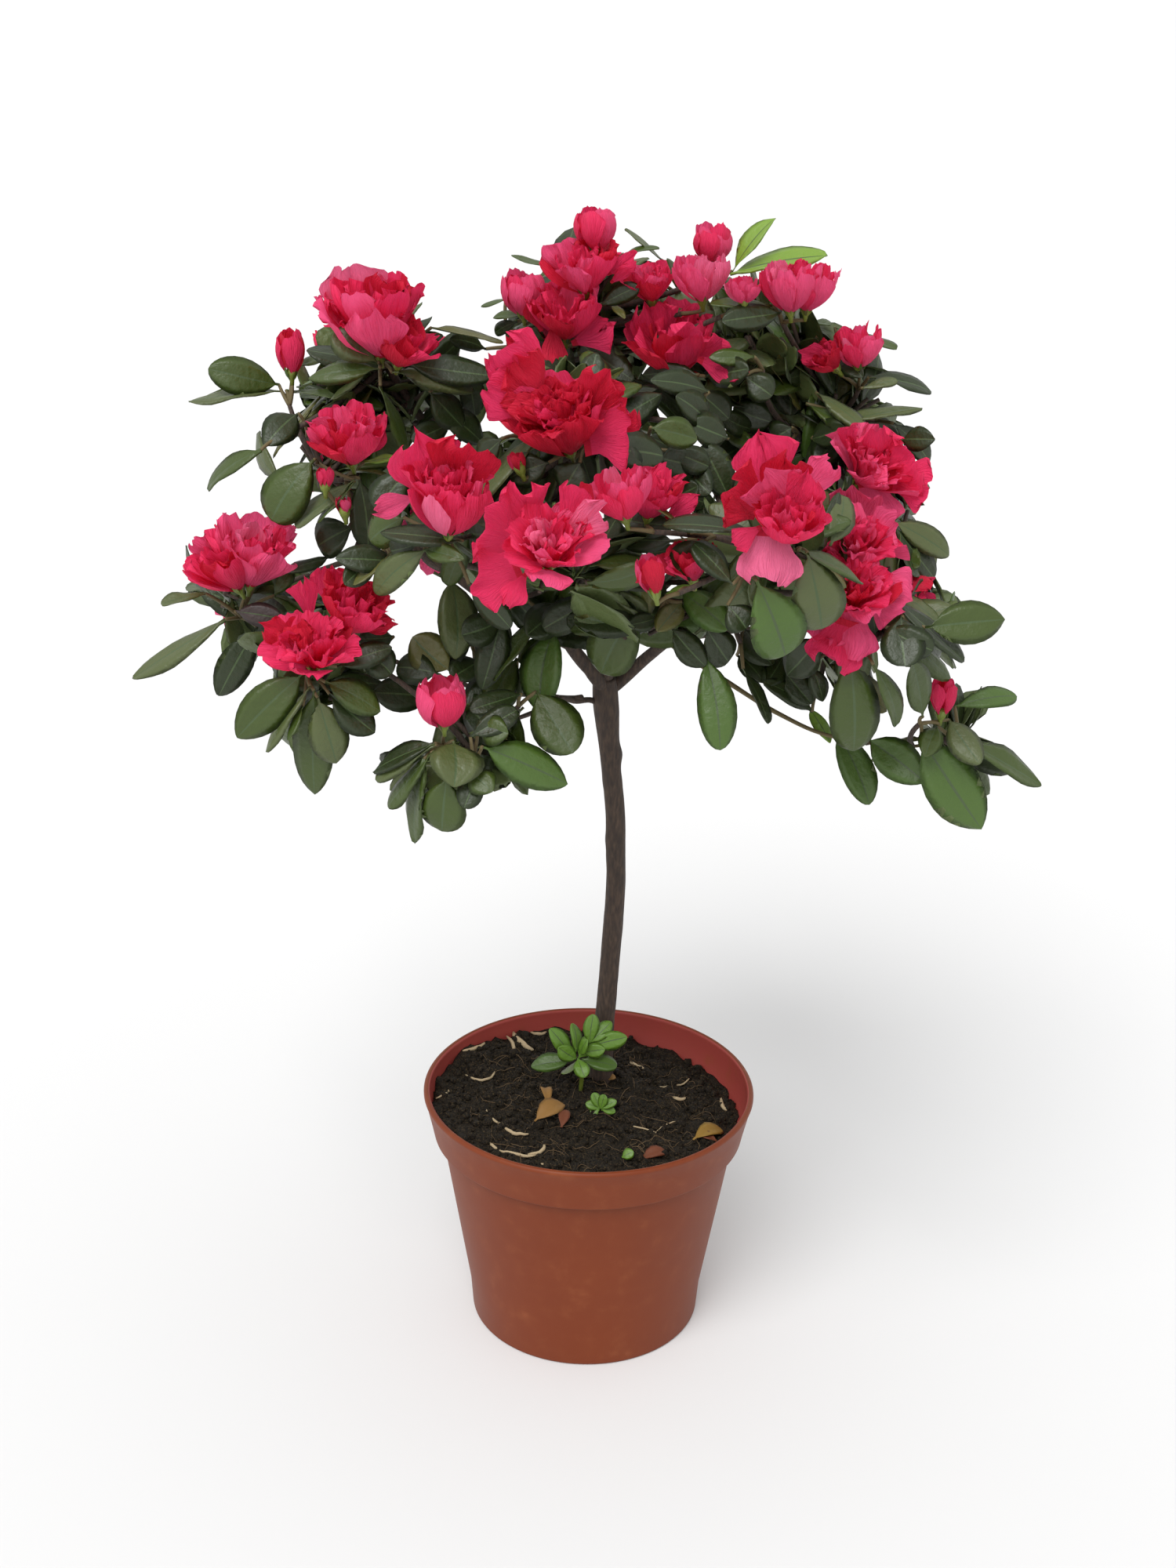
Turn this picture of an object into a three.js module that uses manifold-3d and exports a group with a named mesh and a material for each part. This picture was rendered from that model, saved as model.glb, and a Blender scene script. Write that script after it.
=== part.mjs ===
// An azalea grown as a small standard: one bare stem carrying a domed crown, in a plastic nursery pot.
// Millimetres, +Z up, the crown's fullest side towards -Y, the origin in the middle of the pot's underside.
import * as THREE from "three";
import { mergeVertices } from "three/addons/utils/BufferGeometryUtils.js";
import Module from "manifold-3d";

const wasm = await Module();
wasm.setup();

// Driving dimensions
const GAP = 0.35; // air left between pieces that touch
const ROUND = 32; // facets round the pot
const POT = {
  height: 105.8,
  rimRadius: 69.2,
  collarHeight: 18.5,
  collarFoot: 65,
  bodyTop: 61.8,
  bodyFoot: 49.8,
  heelHeight: 14,
  heelRadius: 48.7,
  heelChamfer: 1.1,
  wall: 1.7,
  floor: 2.4,
};
const DRAIN = { count: 6, radius: 3.6, ring: 33 };
const SOIL = { level: 93.5, heap: 7, rough: 1.6, rings: 5, segments: 27 };
const STEM = {
  foot: [5, 19, 91],
  fork: [2.8, 3, 284],
  radius: 4.1,
  flare: 2.6,
  flareHeight: 14,
  sides: 12,
  steps: 13,
};
const SPROUT = { foot: [-5, 13, 91], radius: 1.5, height: 22, tuft: [[-3, 2, 123], [21, 15, 13], 8] };
const BOUGH = { sides: 7, steps: 7, taper: 0.4 };

const colours = {
  pot: { color: 0x8c4a33, roughness: 0.5, metalness: 0 },
  soil: { color: 0x241d19, roughness: 1, metalness: 0 },
  bark: { color: 0x4a3b32, roughness: 0.85, metalness: 0 },
  leaf: { color: 0x2f4a2c, roughness: 0.6, metalness: 0 },
  sprout: { color: 0x4d7a2c, roughness: 0.6, metalness: 0 },
};

// A repeatable number from -1 to 1 for each seed.
function chance(seed) {
  const s = Math.sin(seed * 127.1 + 311.7) * 43758.5453;
  return 2 * (s - Math.floor(s)) - 1;
}

// ---- solids -------------------------------------------------------------------------------------

// A closed skin over rings of equally many points, with a flat cap at each end.
function loft(rings) {
  const around = rings[0].length;
  const points = rings.flat();
  const faces = [];
  for (let r = 0; r + 1 < rings.length; r++)
    for (let i = 0; i < around; i++) {
      const j = (i + 1) % around;
      const [a, b] = [r * around + i, r * around + j];
      faces.push(a, b, b + around, a, b + around, a + around);
    }
  const middle = (ring) => ring.reduce((sum, p) => sum.add(p), new THREE.Vector3()).divideScalar(around);
  const last = (rings.length - 1) * around;
  const start = points.push(middle(rings[0])) - 1;
  const end = points.push(middle(rings.at(-1))) - 1;
  for (let i = 0; i < around; i++) {
    const j = (i + 1) % around;
    faces.push(start, j, i, end, last + i, last + j);
  }
  return new THREE.BufferGeometry().setFromPoints(points).setIndex(faces);
}

function solidOf(geometry) {
  const bare = geometry.clone();
  bare.deleteAttribute("normal");
  bare.deleteAttribute("uv");
  const merged = mergeVertices(bare, 1e-3);
  return new wasm.Manifold(
    new wasm.Mesh({
      numProp: 3,
      vertProperties: new Float32Array(merged.attributes.position.array),
      triVerts: new Uint32Array(merged.index.array),
    }),
  );
}

function geometryOf(solid) {
  const mesh = solid.getMesh();
  return new THREE.BufferGeometry()
    .setAttribute("position", new THREE.BufferAttribute(new Float32Array(mesh.vertProperties), 3))
    .setIndex(new THREE.BufferAttribute(new Uint32Array(mesh.triVerts), 1));
}

// What is left of a solid once others are taken off it: its largest single body.
function cutBack(solid, others) {
  const left = others.reduce((kept, other) => kept.subtract(other), solid).decompose();
  return left.reduce((best, body) => (body.volume() > best.volume() ? body : best));
}

// A tapering limb along a smooth curve through points. grow makes it fatter all over.
function limb(points, radii, sides, steps, grow = 0) {
  const curve = new THREE.CatmullRomCurve3(points.map((p) => new THREE.Vector3(...p)));
  const frames = curve.computeFrenetFrames(steps);
  const rings = [];
  for (let s = 0; s <= steps; s++) {
    const centre = curve.getPointAt(s / steps);
    const radius = radii(s / steps) + grow;
    const ring = [];
    for (let i = 0; i < sides; i++) {
      const turn = (i / sides) * 2 * Math.PI;
      ring.push(
        centre
          .clone()
          .addScaledVector(frames.normals[s], radius * Math.cos(turn))
          .addScaledVector(frames.binormals[s], radius * Math.sin(turn)),
      );
    }
    rings.push(ring);
  }
  return solidOf(loft(rings));
}

// ---- pot and soil -------------------------------------------------------------------------------

// Radius of the pot's outer face at a height.
function potRadius(z) {
  const collarFoot = POT.height - POT.collarHeight;
  if (z >= collarFoot)
    return THREE.MathUtils.mapLinear(z, collarFoot, POT.height, POT.collarFoot, POT.rimRadius);
  return THREE.MathUtils.mapLinear(z, POT.heelHeight, collarFoot, POT.bodyFoot, POT.bodyTop);
}

function pot() {
  const collarFoot = POT.height - POT.collarHeight;
  const profile = [
    new THREE.Vector2(0, 0),
    new THREE.Vector2(POT.heelRadius - POT.heelChamfer, 0),
    new THREE.Vector2(POT.heelRadius, POT.heelChamfer),
    new THREE.Vector2(POT.bodyFoot, POT.heelHeight),
    new THREE.Vector2(POT.bodyTop, collarFoot - 1.2),
    new THREE.Vector2(POT.collarFoot, collarFoot),
    new THREE.Vector2(POT.rimRadius, POT.height - 1),
    new THREE.Vector2(POT.rimRadius - POT.wall / 2, POT.height),
    new THREE.Vector2(POT.rimRadius - POT.wall, POT.height - 1),
    new THREE.Vector2(POT.collarFoot - POT.wall, collarFoot),
    new THREE.Vector2(POT.bodyFoot - POT.wall, POT.heelHeight),
    new THREE.Vector2(POT.heelRadius - POT.wall, POT.floor),
    new THREE.Vector2(0, POT.floor),
  ];
  const turned = solidOf(new THREE.LatheGeometry(profile, ROUND).rotateX(Math.PI / 2));
  const holes = [];
  for (let i = 0; i < DRAIN.count; i++) {
    const turn = ((i + 0.5) / DRAIN.count) * 2 * Math.PI;
    const hole = new THREE.CylinderGeometry(DRAIN.radius, DRAIN.radius, 4 * POT.floor, 8);
    hole.rotateX(Math.PI / 2).translate(DRAIN.ring * Math.cos(turn), DRAIN.ring * Math.sin(turn), 0);
    holes.push(solidOf(hole));
  }
  return cutBack(turned, holes);
}

// Height of the soil: a low heap round the stem, with small lumps.
function soilHeight(x, y) {
  const fromStem = Math.hypot(x - STEM.foot[0], y - STEM.foot[1]);
  const lumps = Math.sin(x * 0.19 + 1) * Math.cos(y * 0.23) + 0.6 * Math.sin(x * 0.41 - y * 0.37);
  return SOIL.level + SOIL.heap * Math.exp(-((fromStem / 26) ** 2)) - 0.05 * x + SOIL.rough * lumps;
}

function soil() {
  const rings = [];
  const circle = (radius, height) =>
    Array.from({ length: SOIL.segments }, (_, i) => {
      const turn = (i / SOIL.segments) * 2 * Math.PI;
      const [x, y] = [radius * Math.cos(turn), radius * Math.sin(turn)];
      return new THREE.Vector3(x, y, height ?? soilHeight(x, y));
    });
  const inside = (z) => (potRadius(z) - POT.wall - 3 * GAP) * Math.cos(Math.PI / ROUND);
  const bottom = POT.floor + GAP;
  rings.push(circle(POT.heelRadius - POT.wall - 2 * GAP - 1, bottom));
  rings.push(circle(inside(POT.heelHeight + 1), POT.heelHeight + 1));
  const edge = inside(SOIL.level - 5) - 0.4;
  rings.push(circle(edge, SOIL.level - 5));
  rings.push(circle(edge - 0.2));
  for (let r = 1; r < SOIL.rings; r++) rings.push(circle(edge * (1 - r / SOIL.rings)));
  return solidOf(loft(rings));
}

// ---- stem, boughs and foliage -------------------------------------------------------------------

// The stem rises from behind the middle of the pot, leans forward, and bows right below its fork.
const stemBends = [[5.5, 18, 115], [7.5, 15, 150], [9.6, 12, 190], [8.6, 8, 226], [5, 5, 260]];
const stemPath = [STEM.foot, ...stemBends, STEM.fork];

function stemRadius(share) {
  const height = share * (STEM.fork[2] - STEM.foot[2]);
  const flare = STEM.flare * Math.exp(-height / STEM.flareHeight);
  const fork = 1.2 * Math.exp(-(((share - 0.93) / 0.06) ** 2));
  return STEM.radius - 0.25 * share + flare + fork;
}

const stem = (grow) => limb(stemPath, stemRadius, STEM.sides, STEM.steps, grow);

// Masses of foliage and blossom: name, centre, half sizes, and how far each leans over (degrees, to +X).
const masses = [
  ["crown_top", [-6, 2, 425], [35, 38, 38], 0],
  ["crown_top_right", [50, -8, 416], [33, 40, 33], 12],
  ["upper_left", [-76, -14, 405], [38, 40, 32], -14],
  ["upper_right", [86, 0, 387], [31, 40, 34], 20],
  ["centre_upper", [-12, -66, 398], [38, 34, 30], 0],
  ["middle_left", [-98, -38, 374], [39, 36, 26], -16],
  ["middle_right", [99, -36, 357], [29, 34, 33], 18],
  ["centre_left", [-45, -90, 368], [26, 32, 28], -8],
  ["centre_front", [-8, -116, 357], [34, 30, 28], 0],
  ["front_right", [56, -100, 363], [35, 38, 31], 8],
  ["lower_right", [96, -74, 327], [33, 36, 34], 16],
  ["far_left", [-135, -38, 327], [38, 34, 22], -20],
  ["lower_left", [-98, -82, 307], [37, 38, 36], -10],
  ["bottom_left", [-47, -88, 284], [35, 34, 30], -6],
  ["bottom_front", [20, -78, 332], [32, 30, 19], 6],
  ["right_arm", [128, -52, 280], [37, 34, 27], 10],
  ["back_left", [-92, 50, 374], [44, 44, 36], -14],
  ["back_top", [-8, 62, 402], [46, 38, 36], 0],
  ["back_right", [84, 62, 366], [43, 40, 36], 14],
  ["back_middle", [-4, 112, 350], [48, 34, 32], 0],
  ["back_low_left", [-86, 92, 312], [42, 38, 30], -10],
  ["back_low_right", [80, 106, 306], [40, 36, 30], 12],
  ["side_left", [-132, 22, 308], [34, 40, 30], -14],
  ["side_right", [122, 26, 304], [32, 38, 27], 12],
];

// One uneven lump of foliage: a sphere of few faces, swollen and dented, fuller above than below.
function mass([, centre, half, lean], seed, grow = 0) {
  const ball = new THREE.IcosahedronGeometry(1, 2).deleteAttribute("normal").deleteAttribute("uv");
  const shape = mergeVertices(ball);
  const at = shape.attributes.position;
  const [a, b, c] = [1, 2, 3].map((k) => 3 * chance(seed * 7 + k));
  const tip = new THREE.Euler(0, THREE.MathUtils.degToRad(lean), 0);
  for (let i = 0; i < at.count; i++) {
    const p = new THREE.Vector3().fromBufferAttribute(at, i).normalize();
    const broad = Math.sin(4.3 * p.x + a) * Math.cos(3.7 * p.y + b);
    const narrow = Math.sin(5.1 * p.z + 3 * p.x + c);
    const under = p.z < 0 ? 0.86 : 1;
    p.multiplyScalar(1 + 0.07 * broad + 0.06 * narrow);
    p.multiply(new THREE.Vector3(half[0] + grow, half[1] + grow, (half[2] + grow) * under));
    p.applyEuler(tip).add(new THREE.Vector3(...centre));
    at.setXYZ(i, p.x, p.y, p.z);
  }
  return solidOf(shape);
}

// Boughs: name, where it leaves (a height on the stem, or a parent bough and the share along it), a bend
// on its way, the mass it reaches, and its radius.
const boughs = [
  ["bough_top", 283, [4, -8, 345], "crown_top", 3.2],
  ["bough_left", 281, [-20, -10, 318], "upper_left", 3.0],
  ["bough_right", 279, [27, -12, 306], "front_right", 2.8],
  ["bough_low_left", 271, [-15, -18, 282.5], "bottom_left", 2.0],
  ["bough_back", 279, [0, 34, 318], "back_top", 2.8],
  ["bough_middle_left", ["bough_left", 0.34], [-56, -24, 334], "middle_left", 2.1],
  ["bough_far_left", ["bough_low_left", 0.3], [-60, -36, 298], "far_left", 1.8],
  ["bough_centre", ["bough_top", 0.3], [-8, -52, 345], "centre_upper", 2.1],
  ["bough_upper_right", ["bough_top", 0.22], [42, -4, 350], "upper_right", 2.2],
  ["bough_lower_right", ["bough_right", 0.5], [62, -44, 321], "lower_right", 1.9],
  ["bough_arm", ["bough_right", 0.5], [83, -44, 282], "right_arm", 1.7],
  ["bough_back_left", ["bough_back", 0.3], [-48, 42, 332], "back_left", 2.2],
  ["bough_back_right", ["bough_back", 0.26], [44, 44, 330], "back_right", 2.2],
  ["bough_back_middle", ["bough_back", 0.45], [-2, 72, 336], "back_middle", 2.0],
  ["bough_side_left", ["bough_back_left", 0.25], [-72, 26, 328], "side_left", 1.8],
  ["bough_side_right", ["bough_back_right", 0.2], [70, 28, 314], "side_right", 1.8],
  ["bough_low_back_left", ["bough_back_left", 0.3], [-52, 62, 312], "back_low_left", 1.8],
  ["bough_low_back_right", ["bough_back_right", 0.3], [52, 70, 310], "back_low_right", 1.8],
];

function pointOnStem(height) {
  const upper = stemPath.findIndex((p) => p[2] >= height);
  const [a, b] = [stemPath[upper - 1], stemPath[upper]];
  const share = (height - a[2]) / (b[2] - a[2]);
  return a.map((v, i) => v + share * (b[i] - v));
}

const boughPaths = new Map();

function pointOnBough([parent, share]) {
  const curve = new THREE.CatmullRomCurve3(boughPaths.get(parent).map((p) => new THREE.Vector3(...p)));
  return curve.getPointAt(share).toArray();
}

function boughPath([name, from, bend, reached]) {
  const start = Array.isArray(from) ? pointOnBough(from) : pointOnStem(from);
  boughPaths.set(name, [start, bend, masses.find((m) => m[0] === reached)[1]]);
  return boughPaths.get(name);
}

// ---- assembly -----------------------------------------------------------------------------------

const plant = new THREE.Group();

function add(name, solid, look) {
  const node = new THREE.Mesh(geometryOf(solid), new THREE.MeshStandardMaterial(colours[look]));
  node.name = name;
  plant.add(node);
}

const sproutTop = [SPROUT.foot[0] + 1, SPROUT.foot[1] - 6, SPROUT.foot[2] + SPROUT.height];
const sproutStem = (grow) => limb([SPROUT.foot, sproutTop], () => SPROUT.radius, 8, 2, grow);
const sproutTuft = (grow) => mass(["basal_sprout", ...SPROUT.tuft], masses.length, grow);

add("pot", pot(), "pot");
add("soil", cutBack(soil(), [stem(GAP), sproutStem(GAP)]), "soil");
add("stem", stem(0), "bark");
add("basal_sprout_stem", cutBack(sproutStem(0), [sproutTuft(GAP), stem(GAP)]), "sprout");
add("basal_sprout", cutBack(sproutTuft(0), [stem(2 * GAP)]), "sprout");

const grownMasses = masses.map((m, i) => mass(m, i, 2 * GAP));
masses.forEach((m, i) => {
  add("foliage_" + m[0], cutBack(mass(m, i), [stem(GAP), ...grownMasses.slice(0, i)]), "leaf");
});

const grownBoughs = [];
for (const bough of boughs) {
  const path = boughPath(bough);
  const radii = (share) => bough[4] * (1 - BOUGH.taper * share);
  const shape = (grow) => limb(path, radii, BOUGH.sides, BOUGH.steps, grow);
  add(bough[0], cutBack(shape(0), [stem(GAP), ...grownMasses, ...grownBoughs]), "bark");
  grownBoughs.push(shape(GAP));
}

export default plant;
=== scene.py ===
# %% [markdown]
# # A small standard azalea in its nursery pot
#
# A standard azalea is a shrub trained to one bare stem, with a domed crown of leathery dark leaves and
# ruffled double flowers. The frame holds it as plain solids: a pot, its peat, a stem, boughs and masses
# of foliage. This lesson keeps every solid's place and puts the real surfaces there instead: thousands
# of leaves and petals could be placed by hand, but a plant is a rule that repeats, so a few short
# functions grow them all.

# %% Load the frame
import math

import bpy
import numpy as np
from mathutils import Matrix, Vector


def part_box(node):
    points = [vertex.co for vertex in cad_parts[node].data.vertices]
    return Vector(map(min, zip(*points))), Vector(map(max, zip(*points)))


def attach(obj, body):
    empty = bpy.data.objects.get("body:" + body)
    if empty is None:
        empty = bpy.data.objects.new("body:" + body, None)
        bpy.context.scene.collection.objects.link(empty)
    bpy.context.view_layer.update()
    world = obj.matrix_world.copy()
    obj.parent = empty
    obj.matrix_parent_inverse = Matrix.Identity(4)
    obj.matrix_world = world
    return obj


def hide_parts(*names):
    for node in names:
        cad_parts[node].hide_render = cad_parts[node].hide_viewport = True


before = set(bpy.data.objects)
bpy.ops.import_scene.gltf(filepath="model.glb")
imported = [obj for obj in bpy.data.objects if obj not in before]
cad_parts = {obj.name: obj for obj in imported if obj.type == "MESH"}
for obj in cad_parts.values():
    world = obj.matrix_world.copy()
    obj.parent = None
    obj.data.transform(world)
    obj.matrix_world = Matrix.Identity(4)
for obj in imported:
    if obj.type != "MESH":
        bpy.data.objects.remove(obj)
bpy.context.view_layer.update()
MM = 0.001
print("nodes in the frame:", len(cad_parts))

# %% [markdown]
# ## The front view
#
# The plant is planned on a front view, 1500 points wide and 2000 high, like a drawing pinned behind
# glass. One camera looks through that frame, from a little above and a touch tilted. Places read off
# the view become real places when a sight line from the camera's eye meets the crown, so the same
# numbers serve the camera and the planting.

# %% The camera
VIEW_WIDE = 1500
VIEW_HIGH = 2000
FOCAL_POINTS = 2600
SENSOR_MM = 36.0
EYE = np.array([-2.7, -750.0, 539.0])
LOOK_DOWN = math.radians(21.63)
TILT = math.radians(1.08)
NEAREST_M = 0.01
FARTHEST_M = 400.0

eye_turn = Matrix.Rotation(math.pi / 2 - LOOK_DOWN, 3, "X") @ Matrix.Rotation(TILT, 3, "Z")
EYE_AXES = np.array(eye_turn)


def add_object(name, data):
    """A new object that shows some data, linked to the scene."""
    made = bpy.data.objects.new(name, data)
    bpy.context.scene.collection.objects.link(made)
    return made


def make_camera():
    """A camera at the eye whose lens gives the view's focal length on the sensor's long side."""
    data = bpy.data.cameras.new("front_view")
    data.sensor_width = SENSOR_MM
    data.sensor_fit = "AUTO"
    data.lens = FOCAL_POINTS * SENSOR_MM / VIEW_HIGH
    data.clip_start = NEAREST_M
    data.clip_end = FARTHEST_M
    camera = add_object("front_view", data)
    camera.matrix_world = Matrix.Translation(EYE * MM) @ eye_turn.to_4x4()
    bpy.context.scene.camera = camera
    return camera


camera = make_camera()
print("lens in mm:", round(camera.data.lens, 2))


# %% Sight lines
UP = np.array([0.0, 0.0, 1.0])
SLANT = np.array([0.3, 0.2, 0.93])


def unit(vectors):
    """Each vector divided by its own length."""
    return vectors / np.maximum(np.linalg.norm(vectors, axis=-1, keepdims=True), 1e-9)


def square_to(lines):
    """Two directions square to each line and to each other; the first is square to a fixed slant
    too."""
    first = unit(np.cross(lines, SLANT))
    return first, np.cross(lines, first)


def facing_eye(places, along):
    """The direction from each place to the eye, less its part along a line."""
    to_eye = unit(EYE - places)
    return unit(to_eye - (to_eye * along).sum(1, keepdims=True) * along)


def sight_lines(across, down):
    """Directions from the eye through points of the view: offsets from its middle, and the focal
    length straight ahead, turned from the camera's axes into the frame's."""
    across, down = np.broadcast_arrays(np.asarray(across, float), np.asarray(down, float))
    ahead = np.full(across.shape, -float(FOCAL_POINTS))
    local = np.stack([across - VIEW_WIDE / 2, VIEW_HIGH / 2 - down, ahead], -1)
    return unit(local @ EYE_AXES.T)


def in_view(points):
    """Where points of the frame fall in the view: their camera offsets times focal length over
    distance ahead."""
    local = (points - EYE) @ EYE_AXES
    scale = FOCAL_POINTS / -local[..., 2]
    across = VIEW_WIDE / 2 + local[..., 0] * scale
    down = VIEW_HIGH / 2 - local[..., 1] * scale
    return np.stack([across, down], -1)


def box_of(node):
    """Centre and half sizes of a CAD node's box, in millimetres."""
    low, high = (np.array(corner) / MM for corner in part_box(node))
    return (low + high) / 2, (high - low) / 2


MASS_NAMES = sorted(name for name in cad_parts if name.startswith("foliage_"))
MASS_CENTRES, MASS_HALVES = (np.array(part) for part in zip(*map(box_of, MASS_NAMES)))

# %% [markdown]
# ## Meshes from arrays
#
# Blender could model one leaf and scatter copies, but copies would all be alike and would not export
# as one piece. Here a shape is a formula on a grid, worked out for all its copies at once as one array,
# and one function turns arrays of points into a mesh. Faces are kept as fours and threes.

# %% From arrays to a piece
def mesh_piece(name, points, fours, threes, materials, picks=None, places=None, crease=None):
    """A mesh object at the origin. points are millimetres; fours and threes are rows of point
    numbers; picks gives each face its material, fours first; places gives each point its UV."""
    fours = np.asarray(fours, int).reshape(-1, 4)
    threes = np.asarray(threes, int).reshape(-1, 3)
    corners = np.concatenate([fours.ravel(), threes.ravel()])
    totals = np.concatenate([np.full(len(fours), 4), np.full(len(threes), 3)])
    mesh = bpy.data.meshes.new(name)
    mesh.vertices.add(len(points))
    mesh.vertices.foreach_set("co", (np.asarray(points) * MM).astype(np.float32).ravel())
    mesh.loops.add(len(corners))
    mesh.loops.foreach_set("vertex_index", corners.astype(np.int32))
    mesh.polygons.add(len(totals))
    starts = np.concatenate([[0], np.cumsum(totals)[:-1]])
    mesh.polygons.foreach_set("loop_start", starts.astype(np.int32))
    if picks is not None:
        mesh.polygons.foreach_set("material_index", np.asarray(picks, np.int32))
    if places is not None:
        layer = mesh.uv_layers.new(name="surface")
        layer.data.foreach_set("uv", np.asarray(places, np.float32)[corners].ravel())
    for material in materials:
        mesh.materials.append(material)
    mesh.update(calc_edges=True)
    mesh.validate()
    mesh.polygons.foreach_set("use_smooth", np.ones(len(mesh.polygons), bool))
    if crease is not None:
        mesh.set_sharp_from_angle(angle=math.radians(crease))
    print(f"{name}: {len(fours) * 2 + len(threes)} triangles")
    return add_object(name, mesh)


def grid_fours(rows, columns, round_shut=False):
    """Point numbers of a grid's faces, row by row; round_shut joins the last column to the first."""
    row, column = np.meshgrid(np.arange(rows - 1), np.arange(columns - (not round_shut)), indexing="ij")
    after = (column + 1) % columns
    corners = [row * columns + column, (row + 1) * columns + column]
    corners += [(row + 1) * columns + after, row * columns + after]
    return np.stack(corners, -1).reshape(-1, 4)


def copied(faces, copies, points_each):
    """The faces of one shape repeated for many copies laid end to end."""
    return (faces[None] + (np.arange(copies) * points_each)[:, None, None]).reshape(-1, faces.shape[1])


def cap_threes(rows, columns):
    """Triangles from the first and last ring of a closed tube to a pole point each. The poles are the
    last two points."""
    column = np.arange(columns)
    after = (column + 1) % columns
    first, last = rows * columns, rows * columns + 1
    end = (rows - 1) * columns
    near = np.stack([np.full(columns, first), column, after], -1)
    far = np.stack([np.full(columns, last), end + after, end + column], -1)
    return np.concatenate([near, far])


# %% [markdown]
# ## Smooth chance
#
# Bark, peat and petals are never quite regular. Blender has noise textures for its shaders; a shape
# needs the same thing as numbers, so this is value noise: a seeded number for each point of a coarse
# lattice, with a smooth blend between lattice points.

# %% Smooth noise
LATTICE_SIDE = 64
LATTICE = np.random.default_rng(20).uniform(-1, 1, (LATTICE_SIDE, LATTICE_SIDE))


def wander(x, y):
    """Smooth noise from -1 to 1: the four lattice numbers round a place, blended with an S-curve."""
    column, row = np.floor(x).astype(int), np.floor(y).astype(int)
    right, up = x - column, y - row
    right, up = right * right * (3 - 2 * right), up * up * (3 - 2 * up)
    row, row_over = row % LATTICE_SIDE, (row + 1) % LATTICE_SIDE
    column, column_over = column % LATTICE_SIDE, (column + 1) % LATTICE_SIDE
    low = LATTICE[row, column] * (1 - right) + LATTICE[row, column_over] * right
    high = LATTICE[row_over, column] * (1 - right) + LATTICE[row_over, column_over] * right
    return low * (1 - up) + high * up


# %% [markdown]
# ## Shader maths as expressions
#
# A material's node tree is easier to read as a sum than as boxes and wires. The class below wraps one
# socket, and its operators add Math nodes, so a line of Python reads like the formula it builds.

# %% The shader helper
class Finish:
    """A material's node tree, with one method that adds any node."""

    def __init__(self, name):
        """A new material whose node tree starts empty."""
        self.material = bpy.data.materials.new(name)
        self.material.use_nodes = True
        self.tree = self.material.node_tree
        self.tree.nodes.clear()

    def node(self, kind, settings=(), **sockets):
        """Adds a node of a type, makes its settings, then fills or links its sockets. A socket is
        named with _ for a space, or in1, in2 and so on by its place."""
        made = self.tree.nodes.new(kind)
        for key, value in dict(settings).items():
            setattr(made, key, value)
        for key, value in sockets.items():
            by_place = key[:2] == "in" and key[2:].isdigit()
            socket = made.inputs[int(key[2:]) - 1] if by_place else made.inputs[key.replace("_", " ")]
            if isinstance(value, Wire):
                self.tree.links.new(value.socket, socket)
            else:
                socket.default_value = value
        return made

    def wire(self, kind, output=0, settings=(), **sockets):
        """A node's output as a Wire."""
        return Wire(self, self.node(kind, settings, **sockets).outputs[output])

    def blend(self, share, first, second):
        """A mix of two colours by a share from 0 to 1. A Mix node's colours are its seventh and
        eighth sockets, and its mixed colour is its third output."""
        made = self.node("ShaderNodeMix", {"data_type": "RGBA"}, Factor=share)
        for place, value in ((6, first), (7, second)):
            if isinstance(value, Wire):
                self.tree.links.new(value.socket, made.inputs[place])
            else:
                made.inputs[place].default_value = (*value, 1)
        return Wire(self, made.outputs[2])

    def noise(self, scale, detail=3.0, place=None):
        """Blender's noise at a scale in cycles to the metre, on Object coordinates."""
        place = place or self.wire("ShaderNodeTexCoord", "Object")
        return self.wire("ShaderNodeTexNoise", 0, Vector=place, Scale=scale, Detail=detail)

    def bump(self, height, distance, strength=1.0):
        """A normal from a height that spans a distance in metres."""
        return self.wire("ShaderNodeBump", 0, Height=height, Distance=distance, Strength=strength)

    def surface(self, colour, roughness, **others):
        """A Principled surface from a colour, as a Wire or three numbers, and a roughness."""
        colour = colour if isinstance(colour, Wire) else (*colour, 1)
        return self.wire("ShaderNodeBsdfPrincipled", Base_Color=colour, Roughness=roughness, **others)

    def done(self, shader):
        """Sends a shader to the material's output and gives the material."""
        out = self.tree.nodes.new("ShaderNodeOutputMaterial")
        self.tree.links.new(shader.socket, out.inputs["Surface"])
        return self.material


class Wire:
    """One output socket. +, * and ** on it add Math nodes."""

    def __init__(self, finish, socket):
        """Keeps the finish that new nodes go to, and the socket."""
        self.finish = finish
        self.socket = socket

    def maths(self, operation, first, second):
        """One Math node's result, from two wires or numbers."""
        return self.finish.wire("ShaderNodeMath", 0, {"operation": operation}, in1=first, in2=second)

    def __add__(self, other):
        """This wire plus another, or plus a number."""
        return self.maths("ADD", self, other)

    def __radd__(self, other):
        """A number plus this wire."""
        return self.maths("ADD", other, self)

    def __mul__(self, other):
        """This wire times another, or times a number."""
        return self.maths("MULTIPLY", self, other)

    def __rmul__(self, other):
        """A number times this wire."""
        return self.maths("MULTIPLY", other, self)

    def __pow__(self, other):
        """This wire to the power of another, or of a number."""
        return self.maths("POWER", self, other)


def linear(*screen):
    """A screen colour, 0 to 255, as the linear colour a shader wants: a straight start, then the
    usual power curve."""
    return tuple(((v / 255 + 0.055) / 1.055) ** 2.4 if v > 10 else v / 255 / 12.92 for v in screen)


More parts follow.
